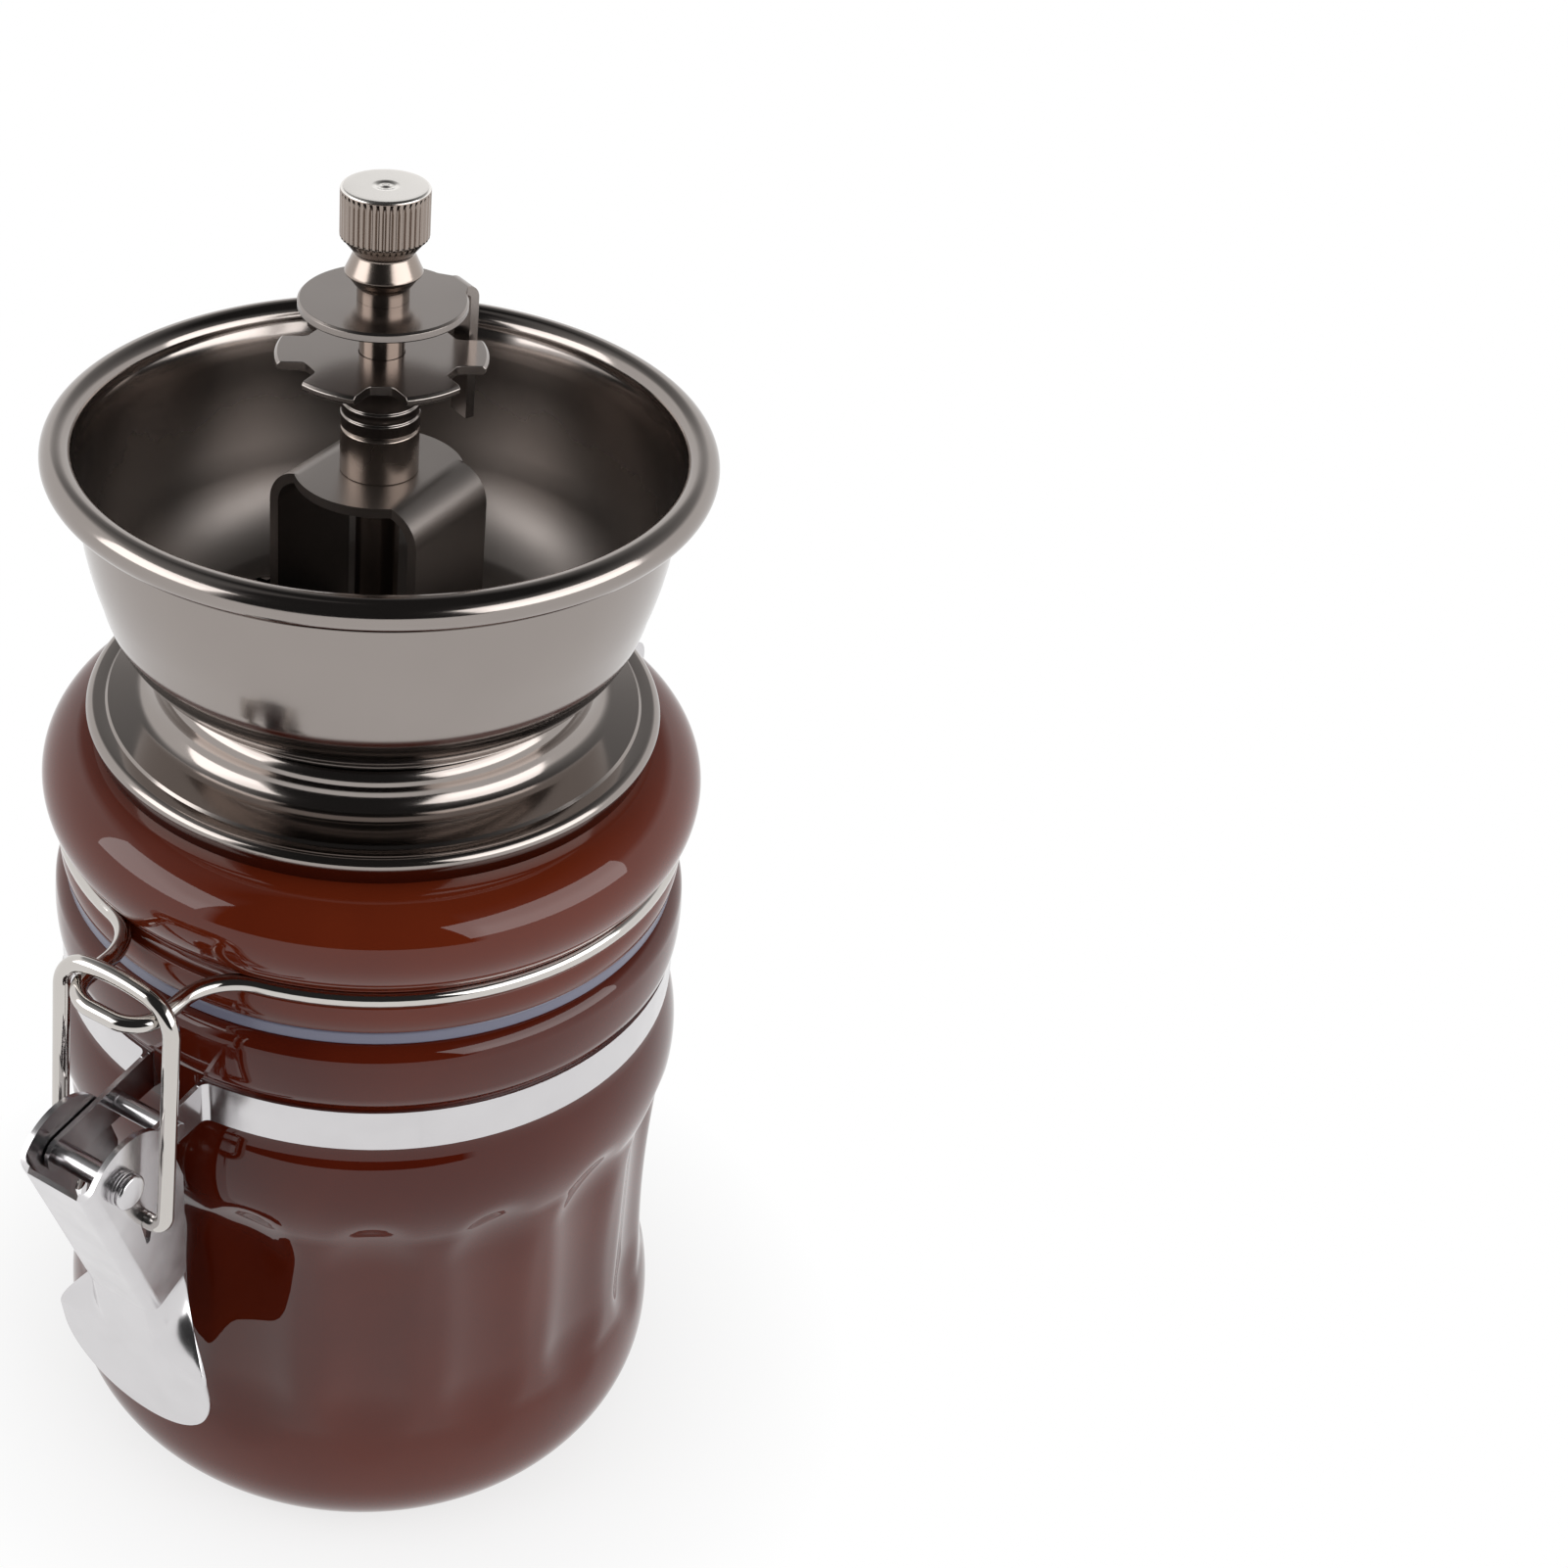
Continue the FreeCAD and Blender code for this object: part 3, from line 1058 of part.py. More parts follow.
def make_spring():
    """Round-wire compression spring between the shaft guide's hub and the cup on the cone."""
    low = cone_top + S["spring_cup_t"] + S["spring_wire_r"] + S["run_gap"]
    high = hub_low - S["spring_wire_r"] - S["run_gap"]
    count = as_size(S["spring_turns"])
    helix = doc.addObject("Part::Helix", "spring_path")
    tie(helix, "Radius", S["spring_r"])
    tie(helix, "Height", high - low)
    tie(helix, "Pitch", (high - low) / count)
    circle = doc.addObject("Part::Circle", "spring_wire")
    tie(circle, "Radius", S["spring_wire_r"])
    circle.Placement.Rotation = FreeCAD.Rotation(Vec(1, 0, 0), 90)
    tie(circle, "Placement.Base.x", S["spring_r"])
    sweep = doc.addObject("Part::Sweep", "spring_sweep")
    sweep.Sections = [circle]
    sweep.Spine = (helix, [])
    sweep.Solid = True
    sweep.Frenet = True
    sweep.Label = "burr_spring"
    tie(sweep, "Placement.Base.z", low)
    NODES["burr_spring"] = sweep


for make in (make_jar, make_band, make_spacer, make_sleeve, make_pin, make_lever, make_link, make_lid_wire,
             make_hinge, make_rivets, make_lid, make_gasket, make_base, make_hopper, make_bracket,
             make_screws, make_bush, make_adjuster, make_stopper, make_shaft, make_thumb_nut, make_housing,
             make_outer_burr, make_inner_burr, make_burr_fixings, make_spring):
    make()
doc.recompute()

problems = []
for item in doc.Objects:
    if "Invalid" in item.State or "Error" in item.State:
        problems.append("%s (%s) is %s" % (item.Name, item.Label, item.State))
for node, item in NODES.items():
    shape = item.Shape
    if shape.isNull() or not shape.isValid() or shape.Volume <= 0:
        problems.append("%s has no valid solid" % node)
if problems:
    raise RuntimeError("; ".join(problems))

os.makedirs("parts", exist_ok=True)
for node, item in NODES.items():
    item.Shape.exportStep("parts/%s.step" % node)
    box = item.Shape.BoundBox
    print("%-16s %9.1f mm3  solids %d  x %6.1f %6.1f  y %6.1f %6.1f  z %6.1f %6.1f" % (
        node, item.Shape.Volume, len(item.Shape.Solids), box.XMin, box.XMax, box.YMin, box.YMax, box.ZMin,
        box.ZMax))
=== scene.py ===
"""Looks of a manual coffee grinder: a fluted, glazed jar with a wire-clip lid, and a plated hopper.

Pieces are drawn in millimetres in the frame's own axes: +Z up from the jar's foot, -Y towards the latch.
"""
import json
import math

import bmesh
import bpy
import numpy as np
from mathutils import Matrix, Vector


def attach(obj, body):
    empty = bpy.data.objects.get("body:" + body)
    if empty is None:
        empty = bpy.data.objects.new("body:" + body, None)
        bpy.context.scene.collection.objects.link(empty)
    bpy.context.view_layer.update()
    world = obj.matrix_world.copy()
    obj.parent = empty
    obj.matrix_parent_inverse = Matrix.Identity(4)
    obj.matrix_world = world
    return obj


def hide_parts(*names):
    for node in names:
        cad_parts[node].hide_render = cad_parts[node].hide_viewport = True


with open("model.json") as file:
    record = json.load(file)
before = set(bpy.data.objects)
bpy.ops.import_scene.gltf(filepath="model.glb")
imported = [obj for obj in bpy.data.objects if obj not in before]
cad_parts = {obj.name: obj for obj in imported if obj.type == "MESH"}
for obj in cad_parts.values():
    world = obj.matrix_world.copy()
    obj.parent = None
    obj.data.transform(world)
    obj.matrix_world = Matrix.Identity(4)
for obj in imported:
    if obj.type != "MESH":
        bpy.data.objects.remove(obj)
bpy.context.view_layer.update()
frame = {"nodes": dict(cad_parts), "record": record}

bl_info = {
    "name": "Manual coffee grinder",
    "version": (1, 0, 0),
    "blender": (4, 5, 0),
    "location": "View3D > Sidebar > Grinder",
    "description": "Builds the looks of a manual coffee grinder around its packed frame",
    "category": "Object",
}

MM = 0.001

# Counts round and along the drawn pieces
FLUTES = 16
RIBS = 42
JAR_AROUND = 320
AROUND = 256
RIB_AROUND = 12
TAB_ROWS = 40
ARC_COLUMNS = 12
FOLD_COLUMNS = 10
TIP_POINTS = 61

# Angles in degrees: of the flutes round the jar, of the link's bow, and of the lever's wall and tab
FLUTE_TURN = 75.3
BOW_TURN = 80.0
WALL_LEAN = 20.97
TAB_TURN = 9.7

# Lengths in millimetres, and how evenly the tab's edge comes down
GROOVE_GAP = 0.15
GASKET_EDGE = 0.5
BASE_SHEET = 0.8
LEVER_EDGE = 0.22
FOLD_EASE = 1.58

# Surfaces
# Painted highlight: a paler tone laid on the thumb nut's flat top for the light falling on it from above,
# and how much of it
PAINTED_HIGHLIGHT_TONE = (0.95, 0.92, 0.88, 1.0)
PAINTED_TOP_HIGHLIGHT = 0.9
SATIN_BOWL = 0.24

# Backdrop as polished pieces see it: heights (the z of a direction) where it is white, grey and dark, its
# grey, and the rise on the left, at an angle in radians
BACKDROP_TOP = 0.36
BACKDROP_GREY = 0.5
ROOM_DARK = 0.85
GREY_TONE = 0.35
LEFT_TURN = 1.3
LEFT_RISE = 0.25

OWNER = {node: body for body, nodes in frame["record"]["behaviour"]["bodies"].items() for node in nodes}
SLOT = {row["node"]: row["material_slot"] for row in frame["record"]["subparts"]}


def length(name, millimetres, description):
    """A length property whose default is given in millimetres."""
    return bpy.props.FloatProperty(
        name=name, description=description, default=millimetres * MM, min=0.0, unit="LENGTH",
        subtype="DISTANCE", precision=5)


def colour(name, rgb, description):
    """A colour property."""
    return bpy.props.FloatVectorProperty(
        name=name, description=description, default=rgb, size=3, min=0.0, max=1.0, subtype="COLOR")


def factor(name, value, description):
    """A property that runs from 0 to 1."""
    return bpy.props.FloatProperty(
        name=name, description=description, default=value, min=0.0, max=1.0, subtype="FACTOR")


def angled(name, degrees, description):
    """An angle property whose default is given in degrees."""
    return bpy.props.FloatProperty(
        name=name, description=description, default=math.radians(degrees), subtype="ANGLE")


class GrinderSizes(bpy.types.PropertyGroup):
    """Lengths that the drawn pieces are built from."""
    foot_r: length("Foot radius", 36.0, "Radius of the jar's flat foot")
    belly_r: length("Belly radius", 52.0, "Widest radius of the jar")
    belly_z: length("Belly height", 16.5, "Height of the widest place above the table")
    waist_r: length("Waist radius", 49.4, "Radius between the flutes at the waist")
    waist_low_z: length("Waist start", 27.0, "Height where the belly runs into the waist")
    waist_top_z: length("Waist end", 72.0, "Height where the waist runs into the shoulder")
    shoulder_r: length("Shoulder radius", 51.4, "Radius of the ring below the neck")
    neck_r: length("Neck radius", 49.2, "Radius under the band")
    neck_z: length("Neck start", 89.6, "Height of the neck's lower end")
    lip_z: length("Neck end", 99.3, "Height of the neck's upper end")
    lip_r: length("Lip radius", 50.4, "Radius of the ring at the mouth")
    top_z: length("Jar height", 111.1, "Height of the jar's mouth")
    wall: length("Jar wall", 4.6, "Thickness of the jar's wall")
    mouth_r: length("Mouth radius", 41.2, "Inner radius of the mouth")
    flute_depth: length("Flute depth", 1.3, "How deep a flute is at its middle")
    flute_round: length("Flute radius", 24.0, "Radius of a flute's hollow and of its arched ends")
    flute_low_z: length("Flute start", 36.0, "Height of the centre of a flute's lower end")
    flute_top_z: length("Flute end", 64.5, "Height of the centre of a flute's upper end")
    flute_soft: length("Flute softness", 0.85, "How far the glaze rounds a flute's edge")
    gasket_t: length("Gasket thickness", 2.4, "Height of the ring between jar and lid")
    gasket_r: length("Gasket radius", 48.7, "Outer radius of the gasket")
    ring_r: length("Lid ring radius", 49.0, "Radius of the lid beside the wire's groove")
    dome_r: length("Dome rounding", 8.5, "Radius of the lid's rounded shoulder")
    dome_ring_r: length("Dome ring radius", 43.0, "Radius of the circle that the rounding runs along")
    dome_z: length("Dome height", 128.0, "Height of the widest place of the lid")
    wire_r: length("Wire radius", 1.3, "Radius of the clip's wires")
    wire_z: length("Wire height", 119.8, "Height of the wire round the lid")
    wire_ring_r: length("Wire ring radius", 48.5, "Radius of the wire round the lid")
    leave_bend: length("Leaving bend", 9.5, "Radius of the bend where the wire leaves the lid")
    nose_x: length("Nose half width", 7.1, "Half width of the wire's nose")
    nose_out: length("Nose reach", 65.0, "How far the nose stands out from the axis")
    nose_bend: length("Nose bend", 5.0, "Radius of the nose's corners")
    hinge_y: length("Hinge reach", 61.0, "How far behind the axis the lid's hinge lies")
    hinge_leg_x: length("Hinge leg", 8.0, "Half width between the wire's two rear legs")
    hinge_bend: length("Hinge bend", 2.5, "Radius of the bends at the wire's rear ends")
    hinge_end_x: length("Hinge end", 13.8, "Half width across the wire's rear ends")
    hook_y: length("Hook reach", 65.0, "How far in front of the axis the link's hooks lie")
    hook_z: length("Hook height", 83.3, "Height of the link's hooks")
    hook_end_x: length("Hook end", 5.9, "Half width between the link's lower ends")
    hook_bend: length("Hook bend", 2.6, "Radius of the link's lower corners")
    link_x: length("Link half width", 10.3, "Half width of the link, leg to leg")
    link_bend: length("Link shoulder", 5.6, "Radius where a leg runs into the bow")
    link_in: length("Link lean", 3.5, "How much further out the bow stands than the hooks")
    link_rise: length("Link rise", 40.95, "Height of the bow over the hooks")
    crease_y: length("Crease reach", 64.6, "How far in front of the axis the lever's crease lies")
    crease_z: length("Crease height", 62.3, "Height of the lever's crease")
    cheek_x: length("Cheek half width", 6.9, "Half width across the lever's cheeks")
    cheek_bend: length("Cheek bend", 2.2, "Radius of the bends between the lever's wall and cheeks")
    cheek_deep: length("Cheek depth", 8.67, "Depth of the lever's cheeks at the crease")
    sheet: length("Lever sheet", 0.9, "Thickness of the lever's sheet")
    tab_open: length("Tab opening", 13.0, "Distance below the crease over which the cheeks open out")
    tab_flat: length("Tab turn", 11.0, "Distance below the crease over which the tab turns upright")
    tab_long: length("Tab length", 31.8, "Length of the tab below the crease")
    tab_r: length("Tab radius", 14.9, "Radius of the tab's round end")
    base_top_z: length("Base height", 148.0, "Height of the hopper base's top")
    base_edge_r: length("Base radius", 44.2, "Outer radius of the hopper base")
    base_edge_z: length("Base edge height", 141.0, "Height of the base's rolled edge")
    base_neck_r: length("Base neck radius", 33.2, "Radius of the base's neck")
    bowl_floor_r: length("Bowl floor radius", 31.5, "Radius of the bowl's flat floor")
    bowl_side_r: length("Bowl side radius", 41.2, "Outer radius half way up the bowl")
    bowl_lip_r: length("Bowl lip radius", 44.0, "Outer radius below the rolled rim")
    bowl_t: length("Bowl sheet", 1.0, "Thickness of the bowl's sheet")
    rim_ring_r: length("Rim ring radius", 46.5, "Radius of the circle that the rolled rim runs along")
    rim_tube_r: length("Rim roll radius", 2.48, "Radius of the rolled rim itself")
    rim_z: length("Rim height", 183.0, "Height of the rolled rim's middle")
    nut_low_z: length("Thumb nut start", 206.12, "Height of the thumb nut's lower end")
    nut_tall: length("Thumb nut height", 16.38, "Height of the thumb nut itself")
    nut_r: length("Thumb nut radius", 6.25, "Radius of the thumb nut's ribbed head")
    nut_waist_r: length("Thumb nut waist", 4.2, "Radius of the thumb nut's waist")
    nut_flare_r: length("Thumb nut flare", 5.5, "Radius of the thumb nut's flared collar")
    nut_neck_r: length("Thumb nut neck", 3.7, "Radius of the thumb nut's short neck")
    rib_depth: length("Rib depth", 0.38, "Depth of the grooves between the thumb nut's ribs")


class GrinderColours(bpy.types.PropertyGroup):
    """Colours and surfaces."""
    glaze: colour("Glaze", (0.066, 0.0066, 0.002), "Colour of the glaze where it lies thick")
    # The thin glaze tone also carries painted light: the lid takes it as a paler glaze for the light it
    # stands in above the jar
    glaze_thin_and_lit: colour("Thin glaze", (0.132, 0.0185, 0.0052), "Colour of the glaze where it lies thin")
    nickel: colour("Dark nickel", (0.33, 0.295, 0.275), "Plating of the hopper and its fittings")
    nickel_warm: colour("Warm nickel", (0.34, 0.285, 0.25), "Plating of the thumb nut and the bush")
    wire: colour("Wire", (0.60, 0.57, 0.54), "Bright nickel plating of the clip's wires")
    strip: colour("Strip", (0.665, 0.65, 0.66), "Polished strip of the band and the lever")
    silicone: colour("Silicone", (0.14, 0.142, 0.20), "Blue-grey gasket")
    burr: colour("Burr", (0.80, 0.78, 0.73), "Ceramic of the burrs")
    plastic: colour("Plastic", (0.035, 0.03, 0.027), "Burr housing")
    steel: colour("Steel", (0.50, 0.49, 0.48), "Plain steel of the washers and the spring")
    polish: factor("Polish", 0.10, "Roughness of the plated hopper")


class GrinderStage(bpy.types.PropertyGroup):
    """Camera and light."""
    camera_at: bpy.props.FloatVectorProperty(
        name="Camera", description="Place of the camera", default=(0.18317, -0.26160, 0.3500), size=3,
        subtype="TRANSLATION", unit="LENGTH")
    turn: angled("Turn", 35.0, "How far the camera stands round from the latch")
    pitch: angled("Pitch", 34.78, "How far the camera looks down")
    roll: angled("Roll", 1.42, "Roll of the camera")
    lens: bpy.props.FloatProperty(
        name="Lens", description="Focal length on a 36 mm sensor, in millimetres", default=56.81,
        subtype="DISTANCE_CAMERA")
    shift: bpy.props.FloatVectorProperty(
        name="Shift", description="Sideways and upward shift of the lens",
        default=(0.2629, -0.0172), size=2)
    light: bpy.props.FloatProperty(
        name="Light", description="Strength of the two soft boxes, in watts for each square metre",
        default=8.0)
    surround: bpy.props.FloatProperty(
        name="Surround", description="Strength of the light from all round", default=0.45)
    dim: bpy.props.FloatProperty(
        name="Dim room", description="How bright polished pieces see the room above the table",
        default=0.025)
    gap_turn: angled("Gap turn", 27.5, "Where the dark room shows between the soft boxes, from the latch")
    gap_half: angled("Gap half width", 42.5, "Half the angle of that dark gap")


def millimetres(context):
    """The sizes as plain numbers in millimetres."""
    sizes = context.scene.grinder_sizes
    plain = type("Plain", (), {})()
    for name in GrinderSizes.__annotations__:
        setattr(plain, name, getattr(sizes, name) / MM)
    return plain


def trace(corners, closed=True, reach=None, turn=4.0):
    """Points along an outline of lines and arcs. A corner is (x, y) or (x, y, r). With r, the stretch to
    the next corner is an arc of that radius, running counter-clockwise for a positive r and clockwise for
    a negative one. Arcs are divided every few degrees, given as turn, and every reach where one is given,
    lines as well."""
    following = corners[1:] + corners[:1] if closed else corners[1:]
    runs = []
    for here, there in zip(corners, following):
        a = np.array(here[:2], float)
        b = np.array(there[:2], float)
        span = b - a
        gap = math.hypot(*span)
        if len(here) == 2:
            parts = max(1, math.ceil(gap / reach)) if reach else 1
            runs.append(a + span * (np.arange(parts) / parts)[:, None])
            continue
        r = abs(here[2])
        side = math.copysign(1.0, here[2])
        rise = math.sqrt(max(r * r - gap * gap / 4, 0.0))
        centre = (a + b) / 2 + np.array((-span[1], span[0])) / gap * rise * side
        sweep = 2 * math.asin(min(gap / 2 / r, 1.0)) * side
        parts = max(2, math.ceil(abs(math.degrees(sweep)) / turn))
        if reach:
            parts = max(parts, math.ceil(abs(sweep) * r / reach))
        angle = math.atan2(*(a - centre)[::-1]) + sweep * np.arange(parts) / parts
        runs.append(centre + r * np.stack((np.cos(angle), np.sin(angle)), -1))
    if not closed:
        runs.append(np.array(corners[-1][:2], float)[None])
    return np.concatenate(runs)


def mirrored(half):
    """The other half of an open outline that is symmetric about x = 0, in running order."""
    back = [(-corner[0], corner[1]) for corner in reversed(half)]
    for i, corner in enumerate(reversed(half[:-1])):
        back[i] = (*back[i], *corner[2:])
    return back


def as_mesh(name, points, faces, crease=32.0):
    """An object from points in millimetres and faces, welded, facing outwards and smooth except at edges
    sharper than the crease."""
    mesh = bpy.data.meshes.new(name)
    mesh.from_pydata((np.asarray(points) * MM).tolist(), [], faces)
    work = bmesh.new()
    work.from_mesh(mesh)
    bmesh.ops.remove_doubles(work, verts=work.verts, dist=2e-7)
    bmesh.ops.dissolve_degenerate(work, edges=work.edges, dist=1e-8)
    bmesh.ops.recalc_face_normals(work, faces=work.faces)
    work.to_mesh(mesh)
    work.free()
    mesh.shade_smooth()
    mesh.set_sharp_from_angle(angle=math.radians(crease))
    piece = bpy.data.objects.new(name, mesh)
    bpy.context.scene.collection.objects.link(piece)
    return piece


def grid_faces(rows, columns, wrap_rows):
    """Quads between neighbouring rows and columns of a grid whose columns run round."""
    row = np.arange(rows if wrap_rows else rows - 1)[:, None]
    column = np.arange(columns)[None, :]
    below = (row + 1) % rows
    right = (column + 1) % columns
    quads = np.stack((row * columns + column, row * columns + right, below * columns + right,
                      below * columns + column), -1)
    return quads.reshape(-1, 4).tolist()


def grid_strip(rows, columns):
    """Quads between neighbouring rows and columns of a grid that is open all round, as an array."""
    start = np.arange(rows - 1)[:, None] * columns + np.arange(columns - 1)[None, :]
    return np.stack((start, start + 1, start + columns + 1, start + columns), -1).reshape(-1, 4)


def lathe(name, outline, around, relief=None, crease=32.0):
    """A turned piece: each outline point (radius, height) goes round the Z axis, so a vertex lies at
    (radius cos a, radius sin a, height) for evenly spaced angles a. Relief may change the radius, given
    radius, height and angle as grids."""
    angle = np.linspace(0.0, 2 * math.pi, around, endpoint=False)[None, :]
    radius = np.repeat(outline[:, :1], around, 1)
    height = np.repeat(outline[:, 1:], around, 1)
    if relief:
        radius = relief(radius, height, angle)
    points = np.stack((radius * np.cos(angle), radius * np.sin(angle), height), -1).reshape(-1, 3)
    return as_mesh(name, points, grid_faces(len(outline), around, True), crease)


def wire(name, path, radius, origin, across, up, around=24, end_round=0.35):
    """A round wire along a flat path. At each path point stands a circle of the wire's radius, square to
    the path: a vertex lies at the point + radius (cos a * the path's normal + sin a * the plane's normal).
    Two smaller circles at each end round it off."""
    across = np.array(across, float)
    up = np.array(up, float)
    normal = np.cross(across, up)
    ahead = np.gradient(path, axis=0)
    ahead /= np.linalg.norm(ahead, axis=1)[:, None]
    first = path[:1] + ahead[:1] * end_round * np.array(((0.0,), (0.35,), (1.0,)))
    last = path[-1:] - ahead[-1:] * end_round * np.array(((1.0,), (0.35,), (0.0,)))
    path = np.concatenate((first, path[1:-1], last))
    ahead = np.concatenate((np.repeat(ahead[:1], 3, 0), ahead[1:-1], np.repeat(ahead[-1:], 3, 0)))
    sizes = np.full(len(path), radius)
    sizes[[0, -1]] -= end_round
    sizes[[1, -2]] -= end_round * 0.3
    centre = np.array(origin, float) + path[:, :1] * across + path[:, 1:] * up
    side = -ahead[:, 1:] * across + ahead[:, :1] * up
    a = np.linspace(0.0, 2 * math.pi, around, endpoint=False)[None, :, None]
    rings = centre[:, None] + sizes[:, None, None] * (np.cos(a) * side[:, None] + np.sin(a) * normal)
    faces = grid_faces(len(path), around, False)
    faces.append(list(range(around)))
    faces.append(list(range((len(path) - 1) * around, len(path) * around)))
    return as_mesh(name, rings.reshape(-1, 3), faces)


def points_of(mesh):
    """The vertices of a mesh as an array, one row each, in metres."""
    flat = np.empty(len(mesh.vertices) * 3)
    mesh.vertices.foreach_get("co", flat)
    return flat.reshape(-1, 3)


def softened(node, width, segments=3, limit=38.0, above=None):
    """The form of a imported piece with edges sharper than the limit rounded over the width, as a new
    piece. Where a plane is given by point and normal, the side that the normal points to is kept."""
    source = frame["nodes"][node]
    place = np.array(source.matrix_world)
    points = points_of(source.data) @ place[:3, :3].T + place[:3, 3]
    faces = [list(face.vertices) for face in source.data.polygons]
    mesh = bpy.data.meshes.new(node + "_form")
    mesh.from_pydata(points.tolist(), [], faces)
    work = bmesh.new()
    work.from_mesh(mesh)
    bmesh.ops.remove_doubles(work, verts=work.verts, dist=1e-6)
    bmesh.ops.dissolve_limit(work, angle_limit=math.radians(0.5), verts=work.verts, edges=work.edges)
    if above:
        bmesh.ops.bisect_plane(
            work, geom=work.verts[:] + work.edges[:] + work.faces[:], plane_co=above[0],
            plane_no=above[1], clear_inner=True)
    work.to_mesh(mesh)
    work.free()
    mesh.shade_smooth()
    mesh.set_sharp_from_angle(angle=math.radians(limit))
    piece = bpy.data.objects.new(node + "_form", mesh)
    bpy.context.scene.collection.objects.link(piece)
    bevel = piece.modifiers.new("edges", "BEVEL")
    bevel.width = width * MM
    bevel.segments = segments
    bevel.limit_method = "ANGLE"
    bevel.angle_limit = math.radians(limit)
    bevel.miter_outer = "MITER_ARC"
    bevel.harden_normals = True
    return piece


def write_marks(piece, amount, name="satin"):
    """Writes how satin a surface is, or how strongly a painted highlight lies on it, for each vertex or
    for all, as the material reads it.
    """
    layer = piece.data.attributes.new(name, "FLOAT", "POINT")
    values = np.broadcast_to(np.asarray(amount, np.float32), len(piece.data.vertices))
    layer.data.foreach_set("value", np.ascontiguousarray(values))


def settle(context, piece, node):
    """Gives a new piece its material, and lets it stand for a node of the frame and ride with it."""
    piece.data.materials.clear()
    piece.data.materials.append(finish(context, SLOT[node]))
    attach(piece, OWNER[node])
    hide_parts(node)
    return piece


class Board:
    """A node tree with short ways to add nodes and join them."""

    def __init__(self, tree):
        self.tree = tree

    def add(self, kind, values=None, **settings):
        """A new node, with its settings, and its sockets set to values or joined to other sockets."""
        node = self.tree.nodes.new(kind)
        for key, value in settings.items():
            setattr(node, key, value)
        for key, value in (values or {}).items():
            if isinstance(value, bpy.types.NodeSocket):
                self.tree.links.new(value, node.inputs[key])
            else:
                node.inputs[key].default_value = value
        return node

    def maths(self, operation, a, b=0.0):
        """One or two numbers put through a math node."""
        return self.add("ShaderNodeMath", {0: a, 1: b}, operation=operation).outputs[0]

    def measure(self, operation, a, b=(0.0, 0.0, 0.0)):
        """A number worked out from vectors, such as a length or a dot product."""
        return self.add("ShaderNodeVectorMath", {0: a, 1: b}, operation=operation).outputs["Value"]

    def parts(self, vector):
        """The three parts of a vector, by name."""
        return self.add("ShaderNodeSeparateXYZ", {"Vector": vector}).outputs

    def joined(self, x, y, z=0.0):
        """A vector from three numbers."""
        return self.add("ShaderNodeCombineXYZ", {"X": x, "Y": y, "Z": z}).outputs[0]

    def noise(self, place, scale, detail):
        """Noise from 0 to 1, with so many waves to the metre."""
        return self.add("ShaderNodeTexNoise", {
            "Vector": place, "Scale": scale, "Detail": detail}).outputs["Fac"]

    def spread(self, value, low, high, out_low=0.0, out_high=1.0):
        """The value carried from one range to another, and held inside it."""
        return self.add("ShaderNodeMapRange", {
            "Value": value, "From Min": low, "From Max": high,
            "To Min": out_low, "To Max": out_high}).outputs[0]


def shared(name, draw):
    """A node group by name, drawn the first time it is asked for. It puts out a fine and a wide mark."""
    group = bpy.data.node_groups.get(name)
    if group:
        return group
    group = bpy.data.node_groups.new(name, "ShaderNodeTree")
    for label in ("Fine", "Wide"):
        group.interface.new_socket(name=label, in_out="OUTPUT", socket_type="NodeSocketFloat")
    board = Board(group)
    place = board.add("ShaderNodeTexCoord").outputs["Object"]
    fine, wide = draw(board, place)
    board.add("NodeGroupOutput", {"Fine": fine, "Wide": wide})
    return group


def turned_marks(board, place):
    """Fine rings left by turning and drawing: noise that follows radius and height, hardly the angle."""
    parts = board.parts(place)
    radius = board.measure("LENGTH", board.joined(parts["X"], parts["Y"]))
    angle = board.maths("ARCTAN2", parts["Y"], parts["X"])
    spot = board.joined(
        board.maths("MULTIPLY", radius, 5200.0), board.maths("MULTIPLY", parts["Z"], 5200.0),
        board.maths("MULTIPLY", angle, 1.3))
    return board.noise(spot, 1.0, 3.0), board.noise(place, 70.0, 4.0)


def rolled_marks(board, place):
    """Faint streaks along rolled strip, level with the ground, over cloudy wear."""
    parts = board.parts(place)
    spot = board.joined(
        board.maths("MULTIPLY", parts["X"], 90.0), board.maths("MULTIPLY", parts["Y"], 90.0),
        board.maths("MULTIPLY", parts["Z"], 4200.0))
    return board.noise(spot, 1.0, 3.0), board.noise(place, 160.0, 5.0)


def glaze_marks(board, place):
    """Slow waves of the glaze, and how pale it is: paler in random patches where it lies thin, paler
    towards the foot, and paler on the lid as painted light, since the lid stands in more light than the
    jar below.
    """
    patches = board.spread(board.noise(place, 17.0, 4.0), 0.38, 0.66, 0.0, 0.5)
    z = board.parts(place)["Z"]
    foot = board.spread(z, 0.03, 0.0, 0.0, 0.3)
    # Painted light: the lid turns paler for the light it stands in, above the shaded walls of the jar
    lid = board.spread(z, 0.112, 0.116, 0.0, 0.45)
    thin_and_lit = board.maths("ADD", board.maths("ADD", patches, foot), lid)
    return board.noise(place, 38.0, 2.0), board.maths("MINIMUM", thin_and_lit, 1.0)


def grain_marks(board, place):
    """Fine even grain."""
    return board.noise(place, 1900.0, 3.0), board.noise(place, 120.0, 3.0)


MARKS = {"turned": turned_marks, "rolled": rolled_marks, "glaze": glaze_marks, "grain": grain_marks}


